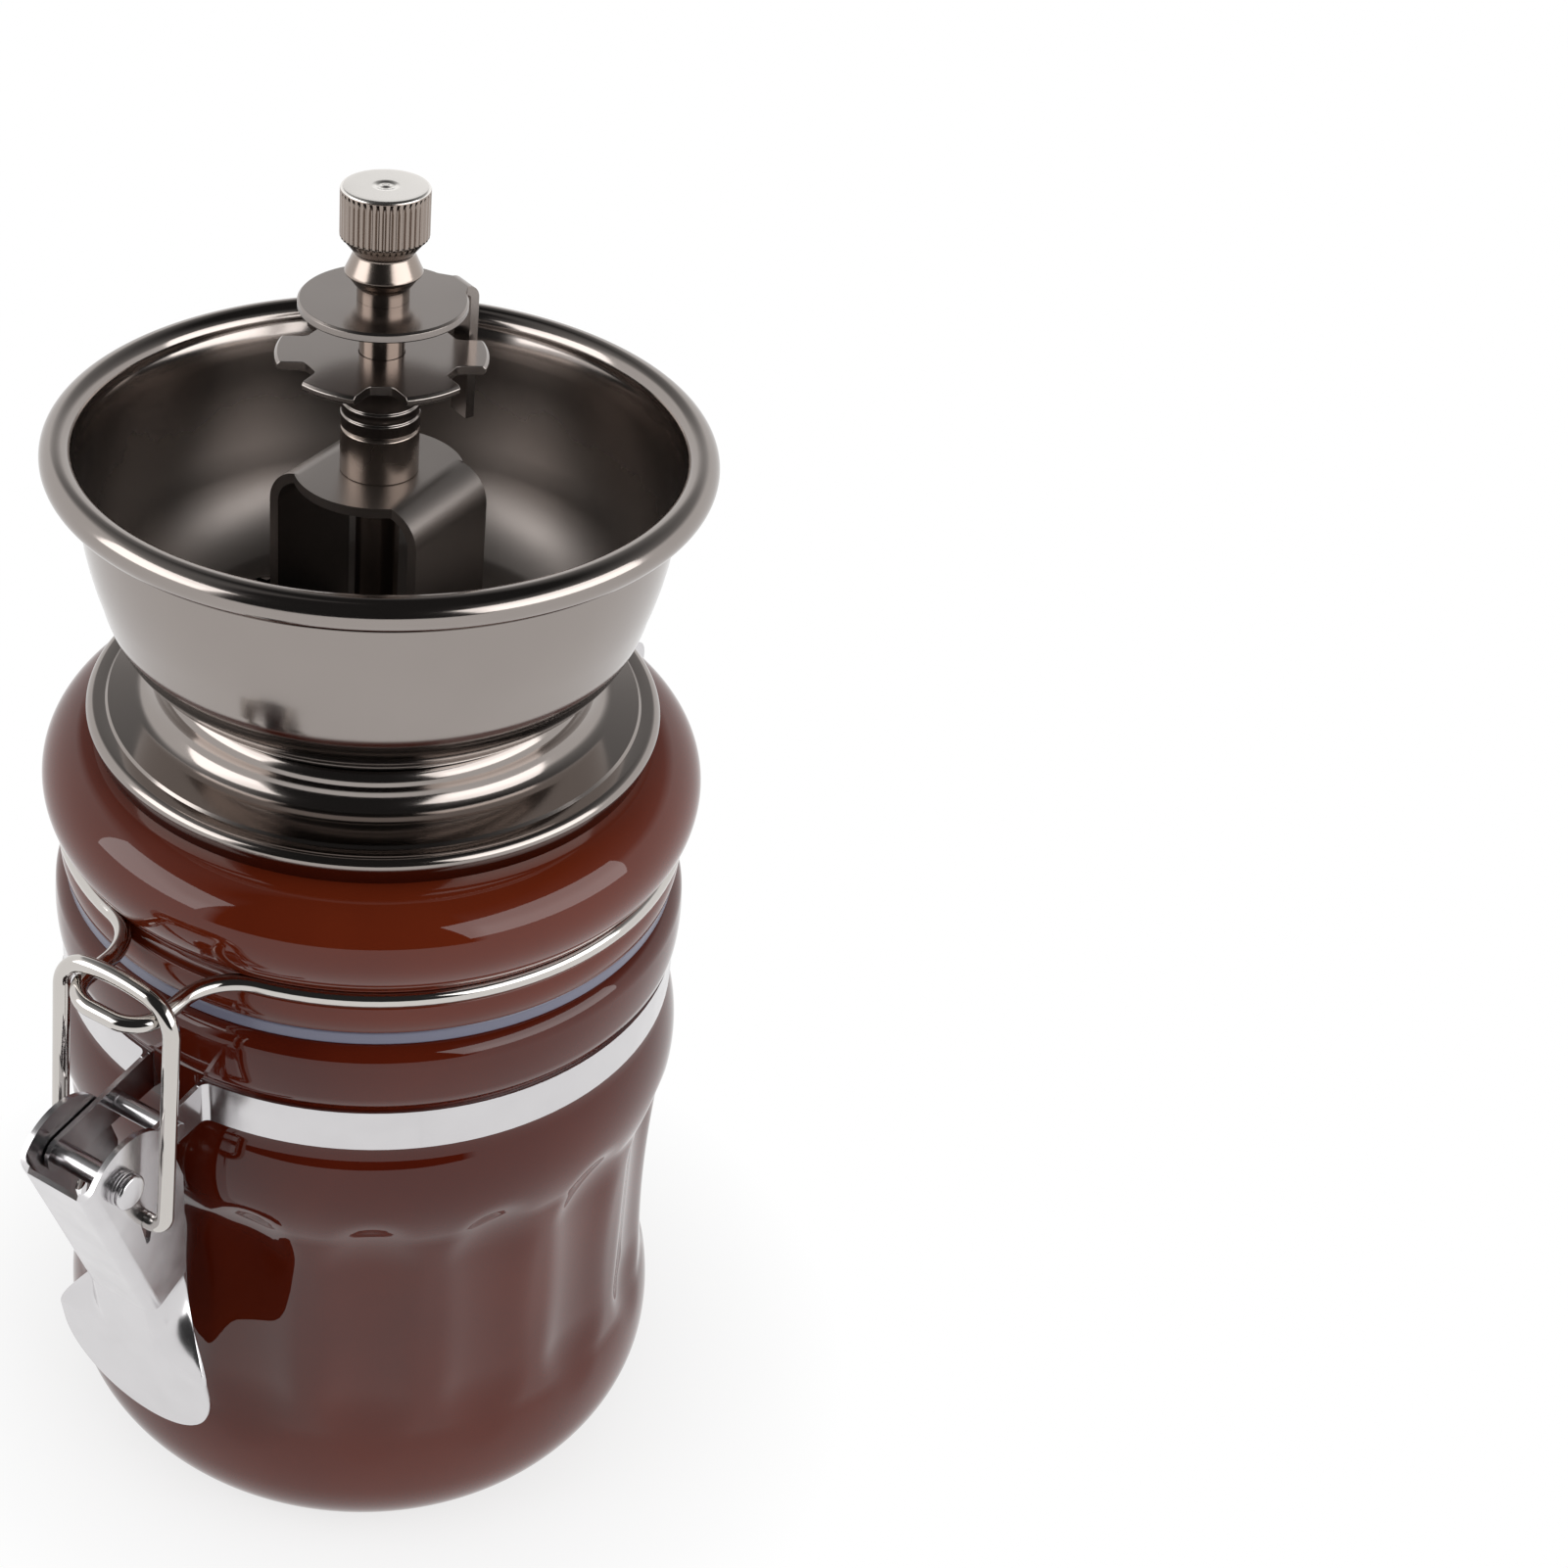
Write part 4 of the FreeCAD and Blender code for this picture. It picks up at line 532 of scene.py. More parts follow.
def surface(name, marks, base, other, roughness, spread, bump, **constants):
    """A material: a Principled shader whose colour runs between two tones and whose roughness runs over a
    range, both led by the marks' second output, with the first as a bump of the given height in
    millimetres. Where the painted highlight attribute is written, the colour turns to a paler tone that
    stands for light falling there, and satin places take more roughness. Constants are set on the
    shader's own sockets."""
    material = bpy.data.materials.get(name)
    if material:
        return material
    material = bpy.data.materials.new(name)
    material.use_nodes = True
    board = Board(material.node_tree)
    shader = material.node_tree.nodes["Principled BSDF"]
    group = board.add("ShaderNodeGroup", node_tree=shared(marks + "_marks", MARKS[marks]))
    tone = board.add("ShaderNodeMix", {"Factor": group.outputs["Wide"]}, data_type="RGBA")
    tone.inputs["A"].default_value = (*base, 1.0)
    tone.inputs["B"].default_value = (*other, 1.0)
    # Painted highlight: where this attribute is written, the colour turns to a paler tone that stands for
    # light falling there
    painted_highlight_mark = board.add("ShaderNodeAttribute", attribute_name="painted_highlight").outputs["Fac"]
    painted_highlight = board.add("ShaderNodeMix", {"Factor": painted_highlight_mark}, data_type="RGBA")
    painted_highlight.inputs["B"].default_value = PAINTED_HIGHLIGHT_TONE
    join = material.node_tree.links.new
    join(tone.outputs["Result"], painted_highlight.inputs["A"])
    join(painted_highlight.outputs["Result"], shader.inputs["Base Color"])
    satin = board.add("ShaderNodeAttribute", attribute_name="satin").outputs["Fac"]
    uneven = board.spread(group.outputs["Wide"], 0.3, 0.7, roughness, roughness + spread)
    join(board.maths("ADD", uneven, satin), shader.inputs["Roughness"])
    relief = board.add("ShaderNodeBump", {
        "Height": group.outputs["Fine"], "Strength": 1.0, "Distance": bump * MM})
    join(relief.outputs[0], shader.inputs["Normal"])
    for key, value in constants.items():
        shader.inputs[key.replace("_", " ")].default_value = value
    return material


def scaled(rgb, amount):
    """A colour made lighter or darker."""
    return tuple(min(1.0, c * amount) for c in rgb)


def finish(context, slot):
    """The material for one of the record's material slots."""
    c = context.scene.grinder_colours
    if slot == "brown_glaze":
        return surface("glaze", "glaze", c.glaze, c.glaze_thin_and_lit, 0.3, 0.06, 0.02, Specular_IOR_Level=0.0,
                       Coat_Weight=1.0, Coat_Roughness=0.02, Coat_IOR=1.47)
    metals = {
        "dark_plate": ("dark_nickel", "turned", c.nickel, c.polish, 0.05, 0.0004),
        "warm_plate": ("warm_nickel", "turned", c.nickel_warm, 0.17, 0.08, 0.0010),
        "bright_wire": ("wire_nickel", "grain", c.wire, 0.06, 0.05, 0.0002),
        "bright_strip": ("polished_strip", "rolled", c.strip, 0.16, 0.10, 0.0006),
        "plain_steel": ("turned_steel", "turned", c.steel, 0.25, 0.10, 0.0010)}
    if slot in metals:
        name, marks, tone, roughness, spread, bump = metals[slot]
        return surface(name, marks, tone, scaled(tone, 0.93), roughness, spread, bump, Metallic=1.0)
    if slot == "silicone":
        return surface("clear_silicone", "grain", c.silicone, scaled(c.silicone, 1.1), 0.32, 0.06, 0.0005,
                       Coat_Weight=0.2)
    if slot == "white_burr":
        return surface("burr_ceramic", "grain", c.burr, scaled(c.burr, 0.94), 0.5, 0.1, 0.004)
    if slot == "dark_plastic":
        return surface("moulded_plastic", "grain", c.plastic, scaled(c.plastic, 1.2), 0.42, 0.08,
                       0.003)
    raise RuntimeError("no finish for slot " + slot)


class GRINDER_OT_jar(bpy.types.Operator):
    """Builds the glazed jar: a turned shell with sixteen soft upright flutes"""
    bl_idname = "grinder.jar"
    bl_label = "Jar"

    def execute(self, context):
        s = millimetres(context)
        belly_round, waist_round, shoulder_round, lip_round = 30.0, 260.0, 22.0, 30.0
        mouth_round = 1.4
        end_r = s.waist_r + 0.9
        in_r = s.waist_r - s.wall
        floor_z = 6.0
        outside = [
            (0, 0), (s.foot_r, 0, s.belly_z), (s.belly_r, s.belly_z, belly_round),
            (end_r, s.waist_low_z, -waist_round), (end_r, s.waist_top_z, shoulder_round),
            (s.shoulder_r - 1.3, s.neck_z - 2.0), (s.neck_r, s.neck_z), (s.neck_r, s.lip_z),
            (s.lip_r, s.lip_z + 1.6, lip_round), (s.lip_r, s.top_z - 3.2, 3.6), (s.lip_r - 2.6, s.top_z)]
        inside = [
            (s.mouth_r + mouth_round, s.top_z, mouth_round), (s.mouth_r, s.top_z - mouth_round),
            (s.mouth_r, 97.0, -8.0), (s.neck_r - s.wall, 89.0), (in_r, s.waist_top_z),
            (in_r, s.waist_low_z), (s.belly_r - s.wall - 2.5, s.belly_z, -12.0),
            (s.foot_r - 3.0, floor_z), (0, floor_z)]
        outline = trace(outside + inside, reach=1.3)
        axis_r = s.waist_r - s.flute_depth + s.flute_round
        pitch = 2 * math.pi / FLUTES

        def fluted(radius, height, angle):
            """Sixteen bars with ball ends cut into the waist. A bar's own surface has the radius
            D cos p - sqrt(R^2 - e^2 - D^2 sin^2 p), with D to its axis, p the angle from it and e the
            height beyond its ends; a smooth minimum with the plain radius rounds the edge."""
            off = (angle + math.radians(FLUTE_TURN) + pitch / 2) % pitch - pitch / 2
            beyond = np.maximum(height - s.flute_top_z, 0) + np.maximum(s.flute_low_z - height, 0)
            left = s.flute_round ** 2 - beyond ** 2 - (axis_r * np.sin(off)) ** 2
            bar = axis_r * np.cos(off) - np.sqrt(np.maximum(left, 0))
            soft = s.flute_soft
            near = np.clip(0.5 + 0.5 * (bar - radius) / soft, 0, 1)
            blended = bar + (radius - bar) * near - soft * near * (1 - near)
            outer = (radius > s.waist_r - 2.0) & (height > 12.0) & (height < s.neck_z - 2.5)
            return np.where(outer & (left > 0), blended, radius)

        settle(context, lathe("jar_shell", outline, JAR_AROUND, fluted), "jar")
        return {"FINISHED"}


class GRINDER_OT_lid(bpy.types.Operator):
    """Builds the glazed lid and the gasket under it"""
    bl_idname = "grinder.lid"
    bl_label = "Lid and gasket"

    def execute(self, context):
        s = millimetres(context)
        seat = s.top_z + s.gasket_t
        top = s.dome_z + s.dome_r
        groove = s.wire_r + GROOVE_GAP
        low, high = s.wire_z - groove, s.wire_z + groove
        soft = 0.35
        collar_r, collar_z, collar_round = 39.6, 104.5, 1.2
        hollow_r = 35.6
        hole_r = 27.0
        roof_z = top - 5.0
        outline = trace([
            (hollow_r, collar_z), (collar_r - collar_round, collar_z, collar_round),
            (collar_r, collar_z + collar_round), (collar_r, seat), (s.ring_r - 0.5, seat, 0.5),
            (s.ring_r, seat + 0.5, 6.0), (s.ring_r, low - soft, soft),
            (s.ring_r - soft, low), (s.wire_ring_r, low, -groove), (s.wire_ring_r, high),
            (s.ring_r - soft, high, soft), (s.ring_r, high + soft, 9.5),
            (s.dome_ring_r + s.dome_r, s.dome_z, s.dome_r), (s.dome_ring_r, top), (hole_r, top),
            (hole_r, roof_z), (hollow_r - 1.0, roof_z), (hollow_r, roof_z - 1.0)], reach=2.5)
        settle(context, lathe("lid_shell", outline, AROUND), "lid")
        edge = GASKET_EDGE
        in_r = collar_r + GROOVE_GAP
        ring = trace([
            (in_r, s.top_z), (s.gasket_r - edge, s.top_z, edge), (s.gasket_r, s.top_z + edge),
            (s.gasket_r, seat - edge, edge), (s.gasket_r - edge, seat), (in_r, seat)])
        settle(context, lathe("gasket_ring", ring, AROUND), "gasket")
        return {"FINISHED"}


class GRINDER_OT_hopper(bpy.types.Operator):
    """Builds the drawn hopper bowl and its pressed base"""
    bl_idname = "grinder.hopper"
    bl_label = "Hopper and base"

    def execute(self, context):
        s = millimetres(context)
        self.bowl(context, s)
        self.base(context, s)
        return {"FINISHED"}

    def bowl(self, context, s):
        """The bowl: a turned sheet with a rolled rim. Its inside is satin, more so towards the floor."""
        t = s.bowl_t
        low = s.base_top_z
        z = s.rim_z
        tube = s.rim_tube_r
        hole_r = 12.6
        side_z = 161.0
        lip_z = 178.5
        outline = trace([
            (hole_r, low), (s.bowl_floor_r, low, 19.0), (s.bowl_side_r, side_z, 60.0),
            (s.bowl_lip_r, lip_z, -9.0), (s.rim_ring_r, z - tube, tube), (s.rim_ring_r, z + tube, tube),
            (s.rim_ring_r - tube, z, 14.0), (s.bowl_lip_r - t, lip_z, -60.0),
            (s.bowl_side_r - t, side_z + 0.3, -18.0), (s.bowl_floor_r - 0.6, low + t),
            (hole_r, low + t)], reach=3.0, turn=3.0)
        piece = settle(context, lathe("hopper_bowl", outline, AROUND), "hopper")
        x, y, height = points_of(piece.data).T / MM
        outer = outline[(outline[:, 1] < z - tube) & (np.arange(len(outline)) < len(outline) / 2)]
        wall = np.interp(height, outer[:, 1], outer[:, 0]) - t / 2
        deep = np.clip((z - height) / (z - low), 0, 1)
        below_rim = np.clip((z - 1 - height) / 4, 0, 1)
        write_marks(piece, SATIN_BOWL * (0.2 + 1.2 * deep) * (np.hypot(x, y) < wall) * below_rim)

    def base(self, context, s):
        """The base: a pressed flange with a turned-down edge and a neck under the bowl."""
        t = BASE_SHEET
        low = s.base_top_z
        neck = s.base_neck_r
        edge = s.base_edge_r
        edge_z = s.base_edge_z
        lid_z = s.dome_z + s.dome_r
        hole_r = 17.5
        under = [
            (hole_r, low - t), (neck - 1.6, low - t, -0.8), (neck - t, low - t - 0.8),
            (neck - t, low - 2.6, 4.6), (neck + 3.2, edge_z + 0.2 - t),
            (edge - 2.2, edge_z - 0.3 - t, -1.0), (edge - 1.4, edge_z - 1.6 - t), (edge - 2.1, lid_z)]
        over = [
            (edge - 1.0, lid_z), (edge, edge_z - 1.2, 1.5), (edge - 1.3, edge_z + 0.1),
            (edge - 3.0, edge_z), (edge - 3.4, edge_z + 0.35), (neck + 3.6, edge_z + 0.7, -3.8),
            (neck, low - 2.2, 3.0), (neck - 1.0, low), (hole_r, low)]
        outline = trace(under + over, reach=2.0)
        settle(context, lathe("hopper_base_ring", outline, AROUND), "hopper_base")


class GRINDER_OT_wires(bpy.types.Operator):
    """Builds the clip's two round wires: the one round the lid and the link over its nose"""
    bl_idname = "grinder.wires"
    bl_label = "Clip wires"

    def execute(self, context):
        s = millimetres(context)
        r = s.wire_ring_r
        bend = s.leave_bend

        def leaving(x):
            """How far along the line at x the centre of the bend that joins it to the ring lies, and the
            point where the bend meets the ring. The two radii together part that centre from the axis."""
            far = r + bend
            centre = math.sqrt(far * far - (x + bend) ** 2)
            return centre, (x + bend) * r / far, centre * r / far

        nose, nose_on_x, nose_on_y = leaving(s.nose_x)
        leg, leg_on_x, leg_on_y = leaving(s.hinge_leg_x)
        half = [
            (s.hinge_end_x, s.hinge_y), (s.hinge_leg_x + s.hinge_bend, s.hinge_y, s.hinge_bend),
            (s.hinge_leg_x, s.hinge_y - s.hinge_bend), (s.hinge_leg_x, leg, bend),
            (leg_on_x, leg_on_y, -r), (nose_on_x, -nose_on_y, bend), (s.nose_x, -nose),
            (s.nose_x, s.nose_bend - s.nose_out, -s.nose_bend), (s.nose_x - s.nose_bend, -s.nose_out)]
        path = trace(half + mirrored(half), closed=False, reach=3.0, turn=3.0)
        round_lid = wire("lid_wire_round", path, s.wire_r, (0, 0, s.wire_z), (1, 0, 0), (0, 1, 0))
        settle(context, round_lid, "lid_wire")
        rise = math.hypot(s.link_in, s.link_rise)
        bow_turn = math.radians(BOW_TURN)
        bow_r = s.link_bend + (s.link_x - s.link_bend) / math.cos(bow_turn)
        leg_z = rise - bow_r + (bow_r - s.link_bend) * math.sin(bow_turn)
        half = [
            (s.hook_end_x, 0), (s.link_x - s.hook_bend, 0, s.hook_bend), (s.link_x, s.hook_bend),
            (s.link_x, leg_z, s.link_bend),
            (bow_r * math.cos(bow_turn), rise - bow_r + bow_r * math.sin(bow_turn), bow_r)]
        loop = trace(half + mirrored(half), closed=False, reach=2.0, turn=3.0)
        link = wire("link_round", loop, s.wire_r, (0, -s.hook_y, s.hook_z), (1, 0, 0),
                    (0, s.link_in / rise, s.link_rise / rise))
        settle(context, link, "link")
        return {"FINISHED"}


class GRINDER_OT_thumb_nut(bpy.types.Operator):
    """Builds the thumb nut: a head with ribs, a waist and a flared collar"""
    bl_idname = "grinder.thumb_nut"
    bl_label = "Thumb nut"

    def execute(self, context):
        s = millimetres(context)
        r = s.nut_r
        low = s.nut_low_z
        top = low + s.nut_tall
        head = low + 9.4
        neck, flare, waist = s.nut_neck_r, s.nut_flare_r, s.nut_waist_r
        bore_r = 2.55
        bore_z = top - 1.3
        dimple_z = top - 0.1
        outline = trace([
            (bore_r, low), (neck, low), (neck, low + 1.8, -0.8), (neck + 0.5, low + 2.4),
            (flare - 0.3, low + 3.8, 0.35), (flare, low + 4.15), (flare - 0.2, low + 4.55),
            (waist + 0.12, low + 6.7, -0.5), (waist + 0.2, low + 7.2), (r - 0.35, head - 0.35, 0.5),
            (r, head + 0.15), (r, top - 0.5, 0.5), (r - 0.5, top), (1.45, top), (1.3, dimple_z),
            (0.55, dimple_z), (0.4, top), (0, top), (0, bore_z), (bore_r, bore_z)], reach=0.7)

        def ribbed(radius, height, angle):
            """Ribs on the head: the radius drops by the rib depth in narrow valleys, where the cosine of
            the angle times the count of ribs is lowest, and fades out at both ends of the head."""
            wave = 0.5 + 0.5 * np.cos(RIBS * angle)
            valley = np.clip(1.15 - 1.55 * wave, 0, 1) ** 1.3
            ends = np.clip((height - head + 0.6) / 0.5, 0, 1) * np.clip((top - 0.45 - height) / 0.5, 0, 1)
            return radius - s.rib_depth * valley * ends * (radius > r - 0.6)

        piece = lathe("thumb_nut_ribbed", outline, RIBS * RIB_AROUND, ribbed, crease=50.0)
        settle(context, piece, "thumb_nut")
        height = points_of(piece.data)[:, 2] / MM
        # Painted highlight: the nut's flat top takes a paler tone for the light falling on it from above
        write_marks(piece, PAINTED_TOP_HIGHLIGHT * (height > top - 0.3), "painted_highlight")
        return {"FINISHED"}


class GRINDER_OT_lever(bpy.types.Operator):
    """Builds the lever: its stamped channel, and the tab that the cheeks open into below a crease"""
    bl_idname = "grinder.lever"
    bl_label = "Lever"

    def execute(self, context):
        s = millimetres(context)
        base = np.array((0.0, -s.crease_y, s.crease_z))
        lean = math.radians(WALL_LEAN)
        cut = (base * MM, (0.0, -math.sin(lean), math.cos(lean)))
        piece = settle(context, softened("lever", LEVER_EDGE, above=cut), "lever")
        tab = as_mesh("lever_tab", *self.tab(s, base, lean))
        work = bmesh.new()
        work.from_mesh(piece.data)
        work.from_mesh(tab.data)
        work.to_mesh(piece.data)
        work.free()
        bpy.data.objects.remove(tab)
        even = piece.modifiers.new("even", "WEIGHTED_NORMAL")
        even.keep_sharp = True
        return {"FINISHED"}

    def tab(self, s, base, lean):
        """Points and faces of the tab. At a distance w below the crease, half a section is a flat
        stretch, an arc and a straight stretch to the edge. The edge swings from the cheek's place to the
        tab's: its half width goes up by k^2 (3 - 2 k) and its depth goes down by (1 - k)^2 (1 + c k),
        where k is the share of w and c the ease. The arc's angle t follows from
        A sin t + (r - B) cos t = r, with A and B from the arc's start to the edge. The back lies the
        sheet's thickness inwards, square to the section. The rest of the tab is flat with a half round
        end."""
        turn = math.radians(TAB_TURN)
        across = np.array((1.0, 0.0, 0.0))
        down = np.array((0.0, math.sin(turn), -math.cos(turn)))
        w = np.linspace(0.0, s.tab_open, TAB_ROWS)[:, None]
        k = w / s.tab_open
        tip_x = s.cheek_x + (s.tab_r - s.cheek_x) * k * k * (3 - 2 * k)
        tip_y = s.cheek_deep * (1 - k) ** 2 * (1 + FOLD_EASE * k)
        r = s.cheek_bend * (1 + k)
        flat_x = s.cheek_x - s.cheek_bend
        rise = tip_x - flat_x
        t = np.arcsin(r / np.hypot(rise, r - tip_y)) - np.arctan2(r - tip_y, rise)

        arc = t * np.linspace(0.0, 1.0, ARC_COLUMNS)
        arc_x = flat_x + r * np.sin(arc)
        arc_y = r * (1 - np.cos(arc))
        share = np.linspace(0.0, 1.0, FOLD_COLUMNS + 1)[1:]
        fold_x = arc_x[:, -1:] * (1 - share) + (tip_x - LEVER_EDGE * np.cos(t)) * share
        fold_y = arc_y[:, -1:] * (1 - share) + (tip_y - LEVER_EDGE * np.sin(t)) * share
        wall = 0 * t
        x = np.concatenate((wall, wall + flat_x / 2, arc_x, fold_x), 1)
        y = np.concatenate((wall, wall, arc_y, fold_y), 1)
        leaning = np.concatenate((wall, wall, arc, t + 0 * share), 1)
        x = np.concatenate((-x[:, :0:-1], x), 1)[..., None]
        y = np.concatenate((y[:, :0:-1], y), 1)[..., None]
        leaning = np.concatenate((-leaning[:, :0:-1], leaning), 1)[..., None]
        tilt = lean + (turn - lean) * np.minimum(w / s.tab_flat, 1.0)
        inward = np.stack((0 * tilt, np.cos(tilt), np.sin(tilt)), -1)
        place = base + w[..., None] * down
        front = place + x * across + y * inward
        deep = np.cos(leaning) * inward - np.sin(leaning) * across
        back = front + s.sheet * deep

        swing = np.linspace(0.0, math.pi, TIP_POINTS)[:, None]
        tip_out = np.cos(swing) * across + np.sin(swing) * down
        tip_edge = base + (s.tab_long - s.tab_r) * down + s.tab_r * tip_out
        tip_deep = np.repeat([(0.0, math.cos(turn), math.sin(turn))], TIP_POINTS, 0)
        inward, place = inward[:, 0], place[:, 0]
        right_out = np.cos(t) * across + np.sin(t) * inward
        left_out = np.sin(t) * inward - np.cos(t) * across
        right_edge = place + tip_x * across + tip_y * inward
        left_edge = place - tip_x * across + tip_y * inward
        rim = self.rim(np.concatenate((right_edge, tip_edge, left_edge[::-1])),
                       np.concatenate((right_out, tip_out, left_out[::-1])),
                       np.concatenate((deep[:, -1], tip_deep, deep[::-1, 0])), s.sheet)

        columns, ring = front.shape[1], rim.shape[1]
        size = TAB_ROWS * columns
        sheet = grid_strip(TAB_ROWS, columns)
        quads = np.concatenate((sheet, sheet + size, grid_strip(len(rim), ring) + 2 * size))
        last = np.arange(size - columns, size)
        first = 2 * size + TAB_ROWS * ring
        end = np.arange(first, first + TIP_POINTS * ring, ring)
        flat_front = np.concatenate((last, end))
        flat_back = np.concatenate((last + size, end + ring - 1))
        faces = quads.tolist() + [flat_front.tolist(), flat_back.tolist()]
        points = np.concatenate((front.reshape(-1, 3), back.reshape(-1, 3), rim.reshape(-1, 3)))
        return points, faces

    def rim(self, edge, out, deep, sheet):
        """Rows of points round the sheet's edge, from its front to its back: each is the edge's point,
        less an inset along the way out, plus a depth along the way in. Both corners are a quarter circle
        of three points."""
        c = LEVER_EDGE
        slant = c * (1 - math.sqrt(0.5))
        inset = np.array((c, slant, 0.0, 0.0, slant, c))[:, None]
        depth = np.array((0.0, slant, c, sheet - c, sheet - slant, sheet))[:, None]
        return edge[:, None] - inset * out[:, None] + depth * deep[:, None]


class GRINDER_OT_fittings(bpy.types.Operator):
    """Rounds the edges of the stamped and turned metal fittings"""
    bl_idname = "grinder.fittings"
    bl_label = "Metal fittings"

    def execute(self, context):
        widths = {
            "bracket": 0.35, "stopper": 0.25, "adjusting_nut": 0.1, "neck_band": 0.12,
            "lever_pin": 0.12, "band_spacer": 0.2, "bracket_screw": 0.15, "hinge_bracket": 0.15,
            "shaft_bush": 0.15}
        satin = {"bracket": 0.22, "stopper": 0.1, "adjusting_nut": 0.08, "shaft_bush": 0.08}
        for node, width in widths.items():
            piece = settle(context, softened(node, width), node)
            write_marks(piece, satin.get(node, 0.0))
        return {"FINISHED"}


class GRINDER_OT_finishes(bpy.types.Operator):
    """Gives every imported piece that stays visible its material"""
    bl_idname = "grinder.finishes"
    bl_label = "Finishes"

    def execute(self, context):
        for node, piece in frame["nodes"].items():
            for slot in piece.material_slots:
                slot.link = "OBJECT"
                slot.material = finish(context, SLOT[node])
        return {"FINISHED"}


class GRINDER_OT_stage(bpy.types.Operator):
    """Sets the floor, the soft light and the camera"""
    bl_idname = "grinder.stage"
    bl_label = "Stage"

    def execute(self, context):
        stage = context.scene.grinder_stage
        self.floor()
        self.surround(context, stage)
        self.soft_box("left_box", (-0.50, -0.60, 0.52), 0.68, 0.50, stage.light)
        self.soft_box("right_box", (0.78, 0.06, 0.47), 0.95, 0.50, stage.light)
        camera = bpy.data.cameras.new("camera")
        camera.lens = stage.lens
        camera.sensor_width = 36.0
        camera.shift_x, camera.shift_y = stage.shift
        camera.clip_start = 0.01
        seat = bpy.data.objects.new("camera", camera)
        seat.location = stage.camera_at
        seat.rotation_euler = (
            Matrix.Rotation(stage.turn, 3, "Z") @ Matrix.Rotation(math.pi / 2 - stage.pitch, 3, "X")
            @ Matrix.Rotation(stage.roll, 3, "Z")).to_euler()
        context.scene.collection.objects.link(seat)
        context.scene.camera = seat
        context.scene.view_settings.view_transform = "Standard"
        return {"FINISHED"}

    def floor(self):
        """A wide pale floor. For the eye and for reflections it glows, from about two thirds white under
        the piece to plain white away from it, so shadows show only near the foot."""
        mesh = bpy.data.meshes.new("floor")
        half = 6.0
        corners = [(-half, -half, 0), (half, -half, 0), (half, half, 0), (-half, half, 0)]
        mesh.from_pydata(corners, [], [(0, 1, 2, 3)])
        floor = bpy.data.objects.new("floor", mesh)
        bpy.context.scene.collection.objects.link(floor)
        material = bpy.data.materials.new("floor")
        material.use_nodes = True
        board = Board(material.node_tree)
        shader = material.node_tree.nodes["Principled BSDF"]
        shader.inputs["Base Color"].default_value = (0.93, 0.93, 0.93, 1.0)
        shader.inputs["Roughness"].default_value = 0.9
        shader.inputs["Specular IOR Level"].default_value = 0.0
        white = board.add("ShaderNodeEmission", {"Color": (1.0, 1.0, 1.0, 1.0), "Strength": 1.0})
        place = board.add("ShaderNodeTexCoord").outputs["Object"]
        far = board.spread(board.measure("LENGTH", place), 0.035, 0.09, 0.68, 1.0)
        rays = board.add("ShaderNodeLightPath").outputs
        seen = board.maths("MAXIMUM", rays["Is Camera Ray"], rays["Is Glossy Ray"])
        mix = board.add("ShaderNodeMixShader", {
            0: board.maths("MULTIPLY", far, seen), 1: shader.outputs[0], 2: white.outputs[0]})
        output = material.node_tree.nodes["Material Output"]
        material.node_tree.links.new(mix.outputs[0], output.inputs["Surface"])
        mesh.materials.append(material)

    def surround(self, context, stage):
        """Even light from all round. The eye sees it white. Polished pieces see a white backdrop that
        fades to a dim room above, higher up on the left, and the dark room through the gap between the
        soft boxes."""
        world = bpy.data.worlds.new("surround")
        world.use_nodes = True
        board = Board(world.node_tree)
        light = world.node_tree.nodes["Background"]
        direction = board.add("ShaderNodeTexCoord").outputs["Generated"]
        parts = board.parts(direction)
        flat = board.joined(parts["X"], parts["Y"])
        flat = board.add("ShaderNodeVectorMath", {0: flat}, operation="NORMALIZE").outputs[0]
        beside = (-math.sin(LEFT_TURN), -math.cos(LEFT_TURN), 0.0)
        left = board.measure("DOT_PRODUCT", flat, beside)
        height = board.maths("SUBTRACT", parts["Z"], board.spread(left, 0.7, 1.0, 0.0, LEFT_RISE))
        level = board.add("ShaderNodeValToRGB", {"Fac": height})
        steps = level.color_ramp.elements
        steps[0].position, steps[1].position = BACKDROP_TOP, BACKDROP_GREY
        steps[0].color = (1.0, 1.0, 1.0, 1.0)
        steps[1].color = (GREY_TONE, GREY_TONE, GREY_TONE, 1.0)
        steps.new(ROOM_DARK).color = (stage.dim, stage.dim, stage.dim, 1.0)
        front = (math.sin(stage.gap_turn), -math.cos(stage.gap_turn), 0.0)
        ahead = board.measure("DOT_PRODUCT", flat, front)
        edge = math.cos(stage.gap_half)
        aside = board.spread(ahead, edge - 0.03, edge + 0.03, 1.0, 0.0)
        mirror = board.maths("MAXIMUM", board.maths("MULTIPLY", level.outputs[0], aside), stage.dim)
        rays = board.add("ShaderNodeLightPath").outputs
        glossy = board.add("ShaderNodeMix", {
            "Factor": rays["Is Glossy Ray"], "A": stage.surround, "B": mirror})
        seen = board.add("ShaderNodeMix", {
            "Factor": board.maths("MAXIMUM", rays["Is Camera Ray"], rays["Is Transmission Ray"]),
            "A": glossy.outputs["Result"], "B": 1.0})
        world.node_tree.links.new(seen.outputs["Result"], light.inputs["Strength"])
        light.inputs["Color"].default_value = (1.0, 1.0, 1.0, 1.0)
        context.scene.world = world

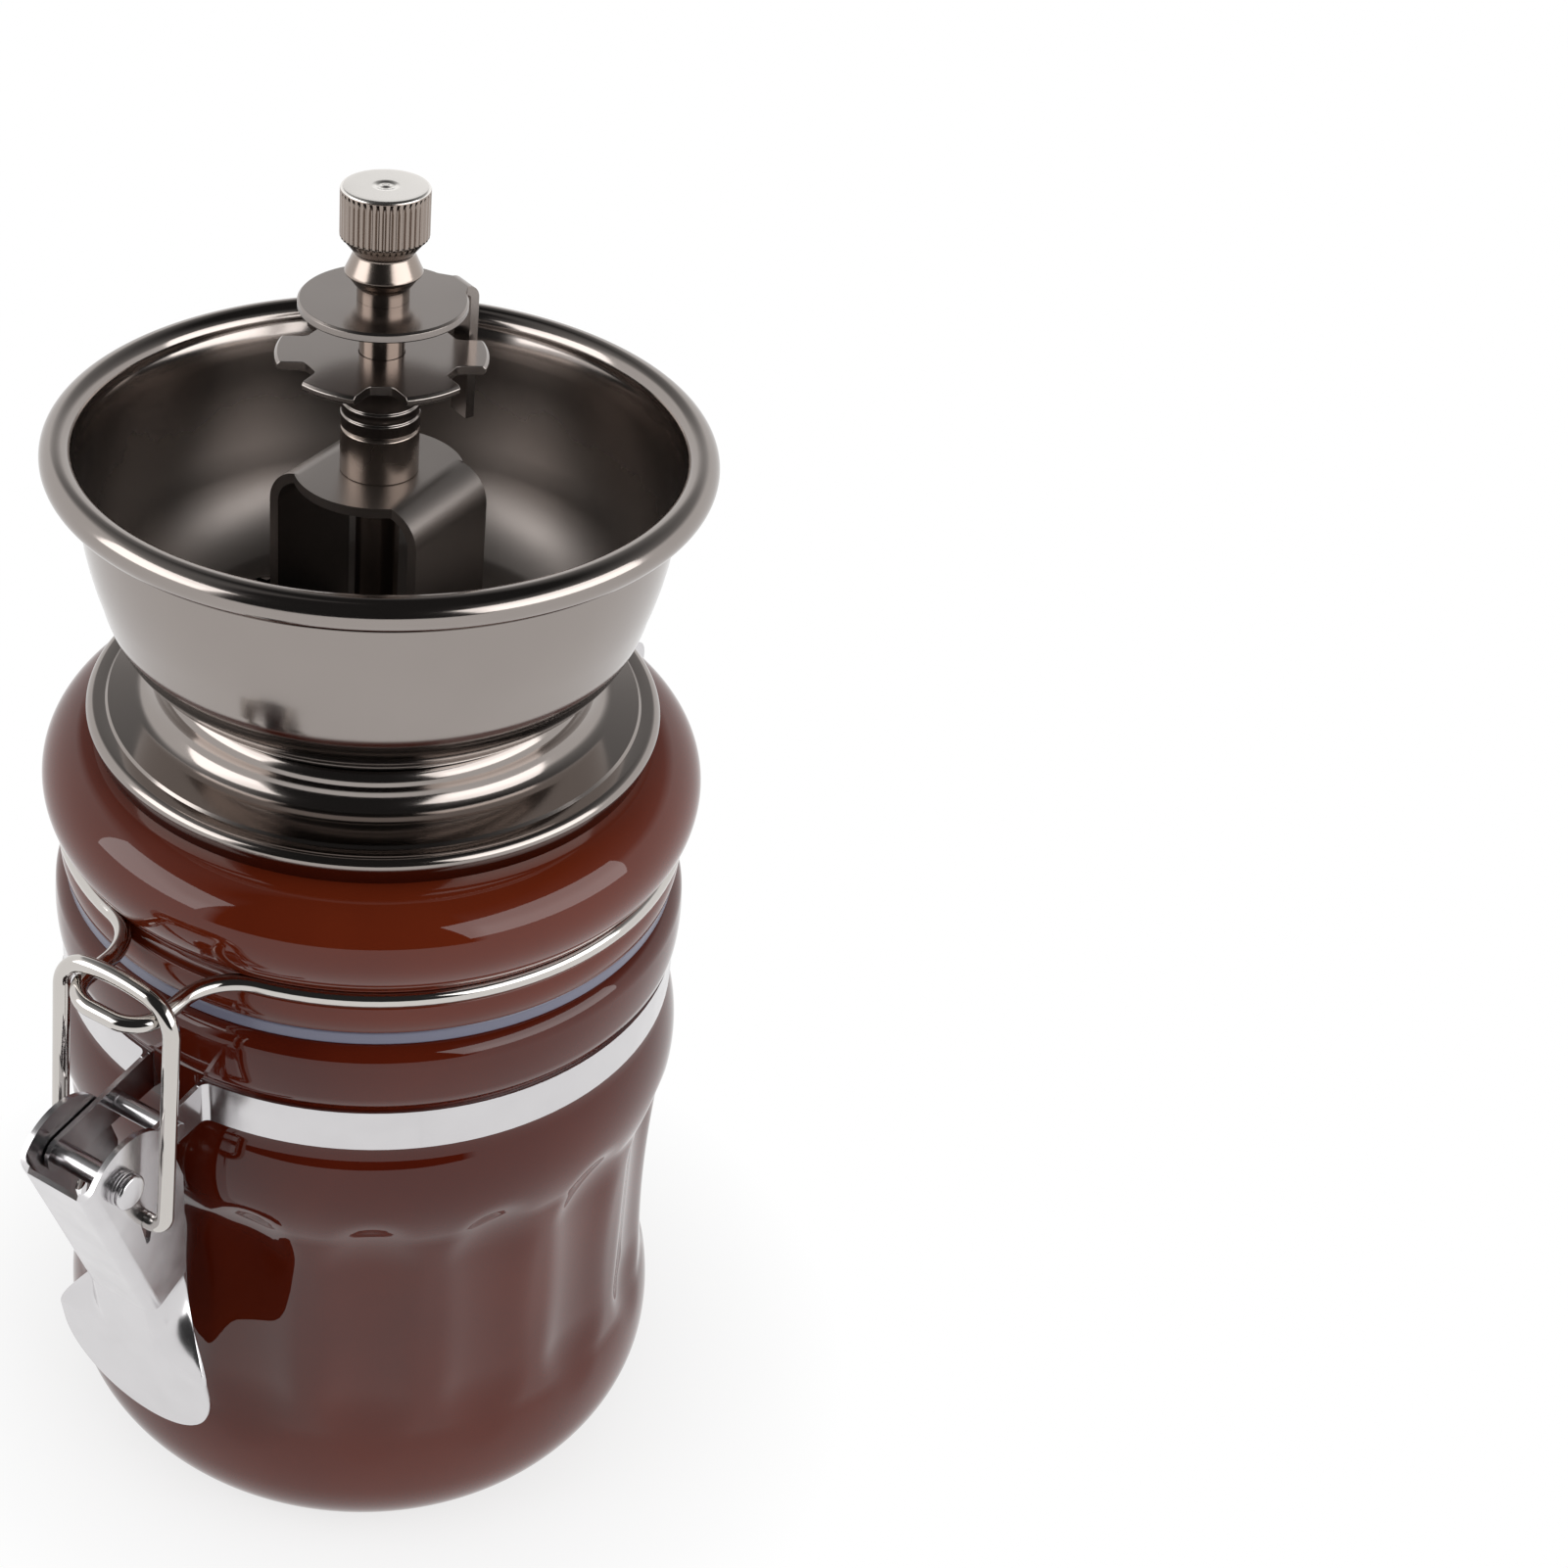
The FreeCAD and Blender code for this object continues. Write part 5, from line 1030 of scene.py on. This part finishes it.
    def soft_box(self, name, place, wide, tall, power):
        """A rectangular lamp that faces the middle of the piece, with its power for each square metre."""
        lamp = bpy.data.lights.new(name, "AREA")
        lamp.shape = "RECTANGLE"
        lamp.size = wide
        lamp.size_y = tall
        lamp.energy = power * wide * tall
        box = bpy.data.objects.new(name, lamp)
        box.location = place
        middle = Vector((0, 0, 0.12))
        box.rotation_euler = (middle - Vector(place)).to_track_quat("-Z", "Y").to_euler()
        bpy.context.scene.collection.objects.link(box)


PIECES = (GRINDER_OT_jar, GRINDER_OT_lid, GRINDER_OT_hopper, GRINDER_OT_wires, GRINDER_OT_thumb_nut,
          GRINDER_OT_lever, GRINDER_OT_fittings, GRINDER_OT_finishes, GRINDER_OT_stage)


class GRINDER_PT_panel(bpy.types.Panel):
    """Lists the pieces and their sizes"""
    bl_idname = "GRINDER_PT_panel"
    bl_label = "Coffee grinder"
    bl_space_type = "VIEW_3D"
    bl_region_type = "UI"
    bl_category = "Grinder"

    def draw(self, context):
        layout = self.layout
        for piece in PIECES:
            layout.operator(piece.bl_idname)
        for holder, group in GROUPS:
            box = layout.box()
            for name in group.__annotations__:
                box.prop(getattr(context.scene, holder), name)


GROUPS = (
    ("grinder_sizes", GrinderSizes),
    ("grinder_colours", GrinderColours),
    ("grinder_stage", GrinderStage))


def register():
    """Registers the groups of properties, the pieces and the panel."""
    for name, group in GROUPS:
        bpy.utils.register_class(group)
        setattr(bpy.types.Scene, name, bpy.props.PointerProperty(type=group))
    for piece in PIECES:
        bpy.utils.register_class(piece)
    bpy.utils.register_class(GRINDER_PT_panel)


def unregister():
    """Takes back what register did, in reverse order."""
    bpy.utils.unregister_class(GRINDER_PT_panel)
    for piece in reversed(PIECES):
        bpy.utils.unregister_class(piece)
    for name, group in reversed(GROUPS):
        delattr(bpy.types.Scene, name)
        bpy.utils.unregister_class(group)


def main():
    """Builds every piece and the stage in order."""
    register()
    bpy.ops.grinder.finishes()
    bpy.ops.grinder.jar()
    bpy.ops.grinder.lid()
    bpy.ops.grinder.hopper()
    bpy.ops.grinder.wires()
    bpy.ops.grinder.thumb_nut()
    bpy.ops.grinder.lever()
    bpy.ops.grinder.fittings()
    bpy.ops.grinder.stage()


if __name__ == "__main__":
    main()
